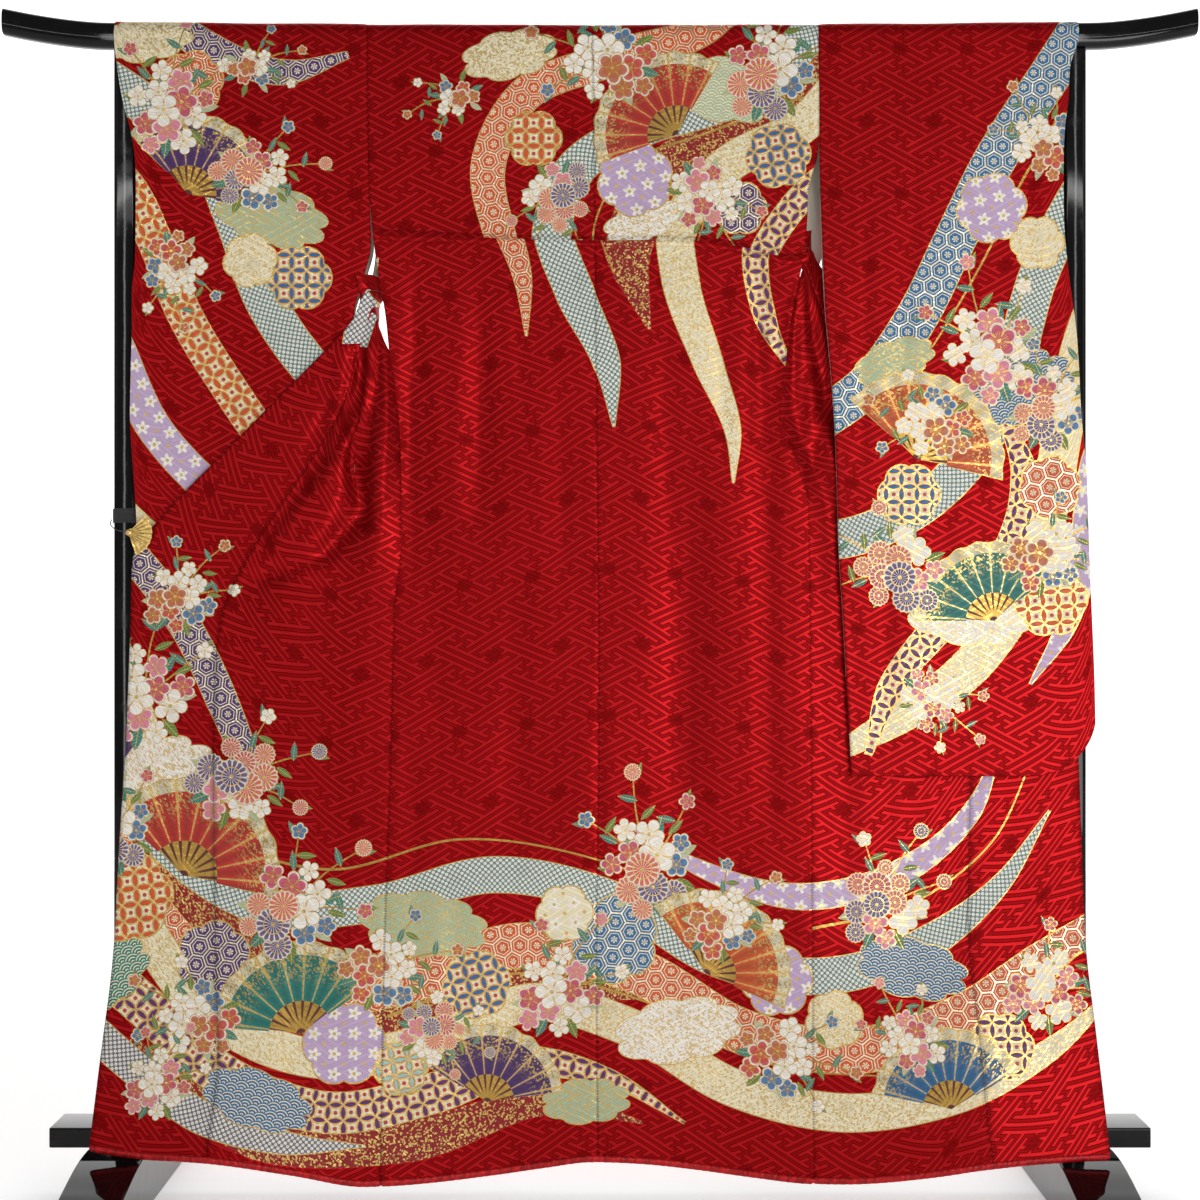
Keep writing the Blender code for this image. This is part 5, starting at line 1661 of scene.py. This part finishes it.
# The fronts go on below the neck, narrower by its opening, and the tapered overlap panels are
# sewn along them. The left front is drawn out round the back's edge to the clip on the pole.
# The right front spreads out behind the right sleeve. Creases are given as those of the backs.
FRONT_CREASES = {
    "left": [
        (-650, 938, -470, 862, 6, 2.6), (-640, 915, -400, 806, 7, 2.8), (-600, 958, -450, 918, 7, 2.0),
        (-560, 830, -350, 752, 9, 2.0), (-500, 905, -330, 858, 8, 1.8), (-345, 1200, -348, 1050, 11, 14),
        (-348, 1070, -341, 975, 12, 16), (-338, 990, -396, 922, 13, 12), (-385, 930, -520, 876, 14, 6),
        (-320, 1220, -316, 1010, 9, -5), (-366, 1215, -386, 1040, 11, -5), (-384, 1050, -470, 925, 13, -6),
        (-378, 1150, -430, 1030, 11, 5), (-425, 1035, -512, 898, 12, 5), (-470, 800, -462, 480, 18, 1.8),
        (-380, 760, -372, 400, 16, 1.8), (-330, 640, -336, 260, 14, 1.4), (-520, 560, -528, 200, 18, 1.3),
        (-430, 420, -436, 130, 20, 1.2), (-640, 800, -650, 420, 16, 1.4), (-600, 480, -612, 180, 20, 1.2),
    ],
    "right": [
        (330, 1200, 288, 960, 9, 3.4), (400, 1120, 330, 880, 9, 2.6), (300, 1240, 284, 1060, 7, 2.0),
        (470, 1040, 400, 800, 9, 2.0), (350, 820, 345, 420, 16, 1.6), (430, 700, 436, 300, 18, 1.4),
        (500, 640, 498, 240, 16, 1.3), (600, 760, 606, 380, 18, 1.5), (660, 560, 668, 200, 18, 1.2),
        (570, 380, 574, 140, 20, 1.0), (390, 360, 384, 110, 20, 1.1),
    ],
}
FAR_CREASES = [
    (-250, 1620, -262, 1380, 12, 1.6), (-200, 1600, -240, 1420, 9, 1.2), (-300, 1560, -304, 1300, 10, 1.4),
    (200, 1620, 232, 1430, 11, 1.5), (260, 1590, 276, 1400, 9, 1.3), (150, 1620, 180, 1540, 10, 0.8),
    (-290, 1200, -300, 900, 12, 1.4), (300, 1150, 320, 860, 12, 1.5), (-430, 800, -436, 420, 18, 1.4),
    (440, 780, 446, 400, 18, 1.3), (620, 620, 626, 260, 18, 1.2), (-610, 640, -616, 280, 18, 1.2),
]
OVERLAP_FAR_ROWS = (0, 6)
OVERLAP_ORIGIN = (470, 0)
for half in ("left", "right"):
    grid, places = fronts[half]
    split = FRONT_COLUMNS + 1
    first, far_end, sewn = (int(np.argmax(places >= place)) for place in (OVERLAP_FROM, FAR_TO, SEWN_FROM))
    rows = np.vstack([backs[half][-1:, :split], raised(grid[:, :split])])
    front = Panel(rows, {"near": (sewn + 1, len(grid)), "far": (1, far_end)})
    shown = {"near": (sewn - first, len(grid) - first - 1), "far": OVERLAP_FAR_ROWS}
    overlap = Panel(raised(grid[first:, FRONT_COLUMNS:]), shown, origin=OVERLAP_ORIGIN)
    for name, panel, node, flat in (
        ("front_panel_", front, "front_", (0.25, 1.5)),
        ("overlap_panel_", overlap, "okumi_", (0.15, 1.25)),
    ):
        panel.press(FRONT_CREASES[half])
        panel.press(FAR_CREASES, "far")
        panel.sew()
        piece = Garment()
        piece.panel(panel, skirt, far_painting)
        piece = piece.make(name + half, node + half)
    panels["front_" + half] = front
    panels["overlap_" + half] = overlap


# The sleeves: one length each, folded on the shoulder line and sewn up below the wrist, along
# the bottom and round its outer corner. The side next to the body stays open. Each hangs over
# the rail beside the body and is sewn to it above the armhole's slit.

# A row for each section across: its height, x of the inner edge, x of the outer edge of the near
# and of the far layer, y of the near layer, and y of the far layer at its inner and outer edge.
SLEEVES = {
    "left": [
        (1665.5, -333, -696, -694, -19.4, 19.4, 19.4),
        (1624, -333, -692, -690, -20.2, 20.0, 19.6),
        (1579, -332, -685, -684, -21.2, 20.3, 19.4),
        (1514, -331, -669, -671, -22.7, 20.8, 18.0),
        (1462, -330, -664, -661, -23.8, 21.0, 10.0),
        (1385, -327, -664, -661, -25.5, 20.0, -6.0),
        (1343, -330, -665, -662, -25.9, 14.0, -13.5),
        (1298, -346, -669, -668, -25.8, 0.0, -18.3),
        (1248, -353, -669, -668, -25.4, -14.0, -19.2),
        (1146, -353, -672, -671, -24.9, -19.2, -19.2),
        (1092, -351, -671, -670, -24.7, -19.2, -19.2),
        (1000, -351, -664, -663, -24.5, -19.2, -19.2),
        (941, -351, -662, -661, -24.5, -19.2, -19.2),
        (696, -351, -660, -659, -24.5, -19.2, -19.2),
    ],
    "right": [
        (1665.5, 313, 686, 684, -19.4, 19.4, 19.4),
        (1624, 313, 674, 673, -20.2, 20.0, 19.6),
        (1579, 313, 671, 670, -21.2, 20.3, 19.4),
        (1514, 313, 664, 666, -22.7, 20.8, 18.0),
        (1447, 315, 663, 660, -24.6, 16.0, 6.0),
        (1382, 317, 664, 661, -27.0, 0.0, -8.0),
        (1332, 319, 669, 668, -29.0, -12.0, -18.3),
        (1280, 321, 675, 674, -31.0, -20.0, -22.5),
        (1232, 325, 681, 680, -33.0, -25.0, -25.5),
        (1146, 332, 684, 683, -36.5, -30.5, -30.5),
        (1035, 337, 693, 692, -40.0, -34.3, -34.3),
        (941, 339, 695, 694, -43.5, -38.0, -38.0),
        (817, 346, 699, 698, -49.0, -43.5, -43.5),
        (697, 352, 702, 701, -54.5, -49.0, -49.0),
        (651, 356, 702, 701, -56.5, -51.0, -51.0),
    ],
}
SLEEVE_SEAM_END = {"left": 1385.0, "right": 1506.0}
CUFF_END = 1501.0
SLEEVE_BOTTOM = 611.0
SLEEVE_CORNER = 88.0
FOLD_BULGE = 1.2
SLEEVE_ORIGIN = (940, 0)
SLEEVE_COLUMNS = [0, 0.14, 0.28, 0.42, 0.55, 0.67, 0.77, 0.84, 0.9, 0.945, 0.975, 0.992, 1]
CORNER_FROM = 0.74
# The far layer's creases lie this far from the near layer's at both ends, and are shallower.
FAR_SHIFT = np.array([14, -30, 20, 24])
FAR_SHALLOWER = 0.8
SLEEVE_CREASES = {
    "left": [
        (-600, 1560, -560, 1250, 14, 1.7), (-520, 1500, -500, 1180, 12, 1.4),
        (-440, 1480, -424, 1120, 14, 1.6), (-640, 1420, -632, 1040, 10, 1.4),
        (-560, 1180, -552, 800, 16, 1.3), (-480, 1060, -470, 700, 18, 1.4),
        (-400, 1120, -392, 800, 12, 1.2), (-620, 960, -612, 680, 14, 1.1), (-380, 1420, -372, 1200, 8, 1.5),
    ],
    "right": [
        (620, 1580, 606, 1240, 14, 1.7), (540, 1540, 520, 1150, 13, 1.6), (450, 1500, 430, 1160, 12, 1.6),
        (380, 1420, 372, 1060, 10, 1.7), (650, 1300, 640, 900, 12, 1.4), (580, 1160, 570, 740, 16, 1.4),
        (490, 1100, 480, 700, 18, 1.5), (410, 1000, 404, 680, 14, 1.2), (530, 860, 528, 650, 12, 0.9),
    ],
}


def sleeve_layers(half):
    """The near and the far layer from the shoulder line down, straight across between their edges.

    The bottom rises at the outer corner along a quarter circle.
    """
    table = SLEEVES[half]
    share = np.array(SLEEVE_COLUMNS)
    corner_share = np.clip((share - CORNER_FROM) / (1 - CORNER_FROM), 0, 1)
    foot = SLEEVE_BOTTOM + SLEEVE_CORNER * (1 - np.sqrt(1 - (0.985 * corner_share) ** 2))
    downs = np.concatenate([np.linspace(0, 0.42, 10), np.linspace(0.48, 1, 8)])[:, None]
    z = RAIL_Z + (foot - RAIL_Z) * downs
    inner = np.where(z > SLEEVE_SEAM_END[half], by_height(SIDE[half], z), by_height(table, z))
    for edge, y_inner, y_outer in ((2, 4, 4), (3, 5, 6)):
        x = inner * (1 - share) + by_height(table, z, edge) * share
        y = by_height(table, z, y_inner) * (1 - share) + by_height(table, z, y_outer) * share
        yield np.stack([x, y, z], axis=2)


def fold(garment, near, far, way):
    """Adds the round of a fold between two edges, bulged one way in half a sine, as a thin closed wall."""
    way = np.asarray(way, float)
    t = np.linspace(0, 1, 5)[None, :, None]
    points = near[:, None] * (1 - t) + far[:, None] * t + way * FOLD_BULGE * np.sin(np.pi * t)
    normals = unit(np.cross(np.gradient(points, axis=1), np.gradient(points, axis=0)))
    if np.sum(normals[:, 2] @ way) < 0:
        normals = -normals
    faces = quads(np.arange(points[..., 0].size).reshape(points.shape[:2]))
    faces = np.vstack([faces[:, [0, 1, 2]], faces[:, [0, 2, 3]]])
    points, normals = points.reshape(-1, 3), normals.reshape(-1, 3)
    points = points - normals * HALF_CLOTH
    garment.wall(points, normals, points[:, [0, 2]] * MM, faces, *bare(len(faces)))


for half in ("left", "right"):
    near, far = sleeve_layers(half)
    over = over_rail(near[0, :, 0], far[0, :, 0])
    rows = raised(np.vstack([near[::-1], over, far]))
    shown = {"near": (0, len(near) - 1), "far": (len(rows) - len(far), len(rows) - 1)}
    panel = Panel(rows, shown, (True, False), SLEEVE_ORIGIN)
    creases = SLEEVE_CREASES[half]
    panel.press(creases)
    creases = [(*(ends + FAR_SHIFT), wide, deep * FAR_SHALLOWER) for *ends, wide, deep in creases]
    panel.press(creases, "far")
    panel.sew(0.7)
    sleeve = Garment()
    sleeve.panel(panel, sleeves, far_painting)
    outer = panel.points + panel.normals * HALF_CLOTH
    side_near, side_far = outer[panel.shown["near"], -1], outer[panel.shown["far"], -1]
    side_near = side_near[side_near[:, 2] < CUFF_END]
    order = np.argsort(side_far[:, 2])
    matched = [np.interp(side_near[:, 2], side_far[order, 2], side_far[order, k]) for k in (0, 1)]
    beside = np.stack([*matched, side_near[:, 2]], axis=1)
    fold(sleeve, side_near, beside, (math.copysign(1, side_near[0, 0]), 0, 0))
    fold(sleeve, outer[0], outer[-1], (0, 0, -1))
    sleeve = sleeve.make("hanging_sleeve_" + half, "sleeve_" + half)


# The collar: one long band folded round the neck and the upper front edges, and turned in
# behind the fronts below.
COLLAR_GAP = 0.7
COLLAR_WIDTH = 46.0
COLLAR_ORIGIN = (1330, 0)
# Sections round the neck: the inner edge's x, y and height, and the way from it to the outer edge.
NECK = [
    (-100, 21.8, 1653, 20, 2, -47), (-62, 21.4, 1658, 3, 1, -52), (-11, 21.4, 1658, 0, 1, -52),
    (38, 21.4, 1658, -3, 1, -52), (76, 21.8, 1653, -20, 2, -47),
]
# The section of each front at which the collar ends.
COLLAR_ENDS = {"left": 13.6, "right": 15.5}
# Sections past the first sewn one, where the collar lies folded in behind the front, its width,
# how far it lies behind the front's edge, and its turn about that edge in degrees.
COLLAR_SECTIONS = [
    (-6, COLLAR_WIDTH, 0.0, 0), (-4.5, 24, 0.0, 0), (-2, 18, 0.0, 0), (-1, 26, 0.0, 0),
    (-0.5, 5, 2.4, 90), (0, 7, 2.4, 180), (1, 20, 2.4, 180), (2, COLLAR_WIDTH, 2.4, 180),
]


def collar_rows(half):
    """Three points across for each row below the neck: straight out from the front's edge, at an angle
    that grows from 0 beyond the edge to half a turn behind it.
    """
    grid, places = fronts[half]
    keep = (places >= 1) & (places <= COLLAR_ENDS[half])
    grid, places = grid[keep], places[keep]
    edge = grid[:, -1]
    across = edge - grid[:, -3]
    along = unit(np.gradient(edge, axis=0))
    open_way = unit(across - np.sum(across * along, axis=1, keepdims=True) * along)
    outward = np.cross(along, open_way) * (1 if half == "right" else -1)
    table = np.array(COLLAR_SECTIONS, float)
    past = places - SEWN_FROM
    width, behind, turn = (np.interp(past, table[:, 0], table[:, k])[:, None] for k in (1, 2, 3))
    turn = np.radians(turn)
    way = open_way * np.cos(turn) - outward * np.sin(turn)
    start = edge - outward * behind
    return np.stack([start + way * (COLLAR_GAP + width * share) for share in (0, 0.5, 1)], axis=1)


left, right = collar_rows("left"), collar_rows("right")
neck = np.array(NECK, float)
middle = neck[:, None, :3] + unit(neck[:, None, 3:]) * COLLAR_WIDTH * np.linspace(0, 1, 3)[None, :, None]
rows = raised(np.vstack([left[::-1], middle, right]))
collar_panel = Panel(rows, {"far": (len(left), len(left) + len(neck) - 1)}, (True, False), COLLAR_ORIGIN)
collar_panel.sew(0.4)
collar = Garment()
collar.panel(collar_panel)
collar = collar.make("collar_band", "collar")


# The hem: a roll of the red satin lining, lightly wadded and gathered, carried round under the
# edges of the overlap panels, the fronts and the backs.
def satin_surface(start):
    """Smooth red satin with fine gathers round the roll: painted sheen on their tops, painted shade between.
    """
    stretch = {"Vector": start.place(), "Rotation": (0.0, 0.5, 0.0), "Scale": (1.0, 0.4, 0.35)}
    gathers = start.noise(start.node("Mapping", {}, stretch), 170.0, 3.0)
    return {
        # Painted sheen and shade: the colour follows the gathers' height, lighter where they stand up.
        "Base Color": gathers.step(0.3, 0.72).mix((0.26, 0.002, 0.0032), (0.5, 0.008, 0.011)),
        "Roughness": 0.34 + gathers * 0.14,
        "Normal": bump(start, gathers * 0.0026, 0.9),
    }


satin = finish("red_satin", satin_surface, Metallic=0.3, Specular_IOR_Level=0.3)

ROLL_STEP = 2.2
ROLL_SIDES = 14
ROLL_LIFT = 1.6


def hem_roll(name, edge, node):
    """An oval carried along an edge, swollen by sines within sines along it, with narrow closed ends."""
    way = travelled(edge)
    at = np.linspace(0, way[-1], int(way[-1] / ROLL_STEP))
    line = np.stack([np.interp(at, way, edge[:, k]) for k in range(3)], axis=1)
    angle = circle(ROLL_SIDES)
    pucker = np.sin(at / 1.7 + 1.6 * np.sin(at / 23)) * 0.5 + np.sin(at / 0.9 + 2 * np.sin(at / 31)) * 0.25
    swell = 1 + 0.06 * pucker[:, None] + 0.03 * np.sin(at[:, None] / 37 + angle[None, :])
    swell = swell * np.minimum(1, 0.55 + 0.45 * np.minimum(at, way[-1] - at)[:, None] / 4)
    rings = np.repeat(line[:, None, :], ROLL_SIDES, axis=1)
    rings[:, :, 1] += np.cos(angle) * (ROLL_DEPTH / 2) * swell
    rings[:, :, 2] += (np.sin(angle) * swell - 1) * (ROLL_HEIGHT / 2) + ROLL_LIFT
    made = tube(name, rings, satin, node)


for half in ("left", "right"):
    line = np.vstack([panels["front_" + half].points[-1], panels["overlap_" + half].points[-1]])
    hem_roll("hem_roll_" + half, line if line[0, 0] < line[-1, 0] else line[::-1], "hem_" + half)
hem_roll("hem_roll_back", np.vstack([panels["left"].points[0], panels["right"].points[0][::-1]]), "hem_back")


# The clip: a gilt brass fan with nine pleats and a domed pivot, a spring jaw behind the cloth,
# and the black cord that ties it to the pole.
PIVOT = (-672.0, 956.0)
FAN_REACH = 34.0
FAN_RIBS = 9
PLEAT_STEPS = 12
FAN_HOOPS = 14
FAN_ANGLES = (-72.0, 45.0)
FAN_Y = -35.0
PIN_RADIUS = 4.7
JAW_Y = -17.5
JAW_HALF_THICKNESS = 0.6


def gilt_surface(start):
    """Worn gilding: brighter on the high edges, browner and rougher in the hollows."""
    worn = start.noise(start.place(), 240.0, 3.0)
    return {
        "Base Color": worn.step(0.35, 0.7).mix((0.80, 0.56, 0.20), (0.52, 0.33, 0.10)),
        "Roughness": 0.2 + worn * 0.22,
        "Normal": bump(start, worn * 0.0003, 0.4),
    }


gilt = finish("gilt_brass", gilt_surface, Metallic=1.0)

# The fan's grid is polar about the pivot. Its depth is a zigzag round it, with two raised hoops.
rays = PLEAT_STEPS * FAN_RIBS + 1
turn = np.radians(np.linspace(*FAN_ANGLES, rays))
reach = np.linspace(PIN_RADIUS - 0.2, FAN_REACH, FAN_HOOPS)[:, None]
pleat = np.abs((np.arange(rays) % PLEAT_STEPS) / PLEAT_STEPS * 2 - 1)[None, :]
edge_wave = 1 - 0.02 * pleat
bead = np.exp(-(((reach - 31.8) / 0.9) ** 2)) * 0.5 + np.exp(-(((reach - 17.5) / 0.7) ** 2)) * 0.4
front = np.zeros((FAN_HOOPS, rays, 3))
front[:, :, 0] = PIVOT[0] + reach * edge_wave * np.cos(turn)
front[:, :, 2] = PIVOT[1] + reach * edge_wave * np.sin(turn)
front[:, :, 1] = FAN_Y - 0.7 - 0.8 * pleat * np.clip(reach / 12, 0.2, 1) - bead
behind = front.copy()
behind[:, :, 1] = FAN_Y + 0.6 - 0.7 * pleat
number = np.arange(FAN_HOOPS * rays).reshape(FAN_HOOPS, rays)
plate = quads(number)
total = number.size
loop = np.concatenate([number[0, :], number[1:, -1], number[-1, -2::-1], number[-2:0:-1, 0]])
rim = np.stack([loop, np.roll(loop, -1), np.roll(loop, -1) + total, loop + total], axis=1)
faces = plate[:, ::-1].tolist() + (plate + total).tolist() + rim.tolist()
put("fan_plate", np.vstack([front.reshape(-1, 3), behind.reshape(-1, 3)]), faces, gilt, "clip_fan")

# y and radius along the pivot, from its dome in front to its end behind the cloth
PIN_PROFILE = [
    (-37.4, 0.6), (-37.3, 2.0), (-36.9, 3.3), (-36.2, 4.2), (-35.4, 4.65), (-33.6, 4.65), (-33.4, 3.0),
    (-18.6, 3.0), (-18.4, 2.6),
]
PIN_SIDES = 40
angle = circle(PIN_SIDES)
profile = np.array(PIN_PROFILE)
rings = np.zeros((len(profile), PIN_SIDES, 3))
rings[:, :, 0] = PIVOT[0] + profile[:, 1:] * np.cos(angle)
rings[:, :, 1] = profile[:, :1]
rings[:, :, 2] = PIVOT[1] + profile[:, 1:] * np.sin(angle)
tube("pivot_pin", rings, gilt, "clip_pin")

# The jaw is a flat tongue: half a round about the pivot, and a blunt tip.
JAW_ROUND = 6
JAW_TIP = [(25.0, -5.0), (26.0, -4.0), (26.0, 4.0), (25.0, 5.0)]
angle = np.radians(np.linspace(90, 270, 25))
outline = np.vstack([np.stack([JAW_ROUND * np.cos(angle), JAW_ROUND * np.sin(angle)], axis=1), JAW_TIP])
ends = np.zeros((2, len(outline), 3))
ends[:, :, 0] = PIVOT[0] + outline[:, 0]
ends[:, :, 2] = PIVOT[1] + outline[:, 1]
ends[0, :, 1] = JAW_Y - JAW_HALF_THICKNESS
ends[1, :, 1] = JAW_Y + JAW_HALF_THICKNESS
soften(tube("spring_jaw", ends, gilt, "clip_jaw", smooth=False), 0.3)


def corded(start):
    """Twisted black silk cord."""
    twist = start.noise(start.place(), 900.0)
    return {
        "Base Color": twist.step(0.3, 0.7).mix((0.008, 0.008, 0.009), (0.03, 0.028, 0.03)),
        "Roughness": 0.55 + twist * 0.2,
        "Normal": bump(start, twist * 0.0004, 0.7),
    }


black_cord = finish("black_cord", corded, Sheen_Weight=0.2)


CORD_SIDES = 12
CORD_SLANT = (0.12, 0.97, 0.21)


def strand(name, line, diameter, node):
    """A circle carried along a smooth line of points, square to it, as a tube with closed ends."""
    ahead = unit(np.gradient(line, axis=0))
    side = unit(np.cross(ahead, np.array(CORD_SLANT)))
    up = np.cross(side, ahead)
    angle = circle(CORD_SIDES)
    ring = np.cos(angle)[None, :, None] * side[:, None] + np.sin(angle)[None, :, None] * up[:, None]
    return tube(name, line[:, None] + ring * diameter / 2, black_cord, node)


# The winding is a screw round the pole: a circle about each of its corners, and straight between.
CORD_BAND = (969.0, 992.0)
CORD_TURNS = 9
CORD_THICK = 2.3
POLE_X = 682.0
POLE_WIDTH = 32.0
POLE_DEPTH = 28.0
theta = np.linspace(0, CORD_TURNS * 2 * math.pi, CORD_TURNS * 64 + 1) + 0.4
reach = POLE_CORNER + CORD_THICK / 2 + 0.15
across, along = (
    np.clip(way * 2.2, -1, 1) * (width / 2 - POLE_CORNER) + way * reach
    for way, width in ((np.cos(theta), POLE_WIDTH), (np.sin(theta), POLE_DEPTH))
)
height = np.linspace(CORD_BAND[0] + CORD_THICK / 2, CORD_BAND[1] - CORD_THICK / 2, len(theta))
strand("cord_winding", np.stack([across - POLE_X, along, height], axis=1), CORD_THICK, "cord_band")

# The tie, from the winding's front to the clip's pin.
CORD_ROUTE = [
    (-701.5, -9, 975), (-702, -16, 970), (-698, -21, 964), (-691, -24, 960), (-683, -26, 958),
    (-677.3, -27, 957.5),
]
loop_line = spline(np.arange(len(CORD_ROUTE)), CORD_ROUTE, np.linspace(0, len(CORD_ROUTE) - 1, 24))
loop = strand("cord_tie", loop_line, 1.6, "cord_loop")
length = float(travelled(loop_line)[-1]) * MM
tuple(loop_line[0] * MM)
(loop_line * MM).tolist()
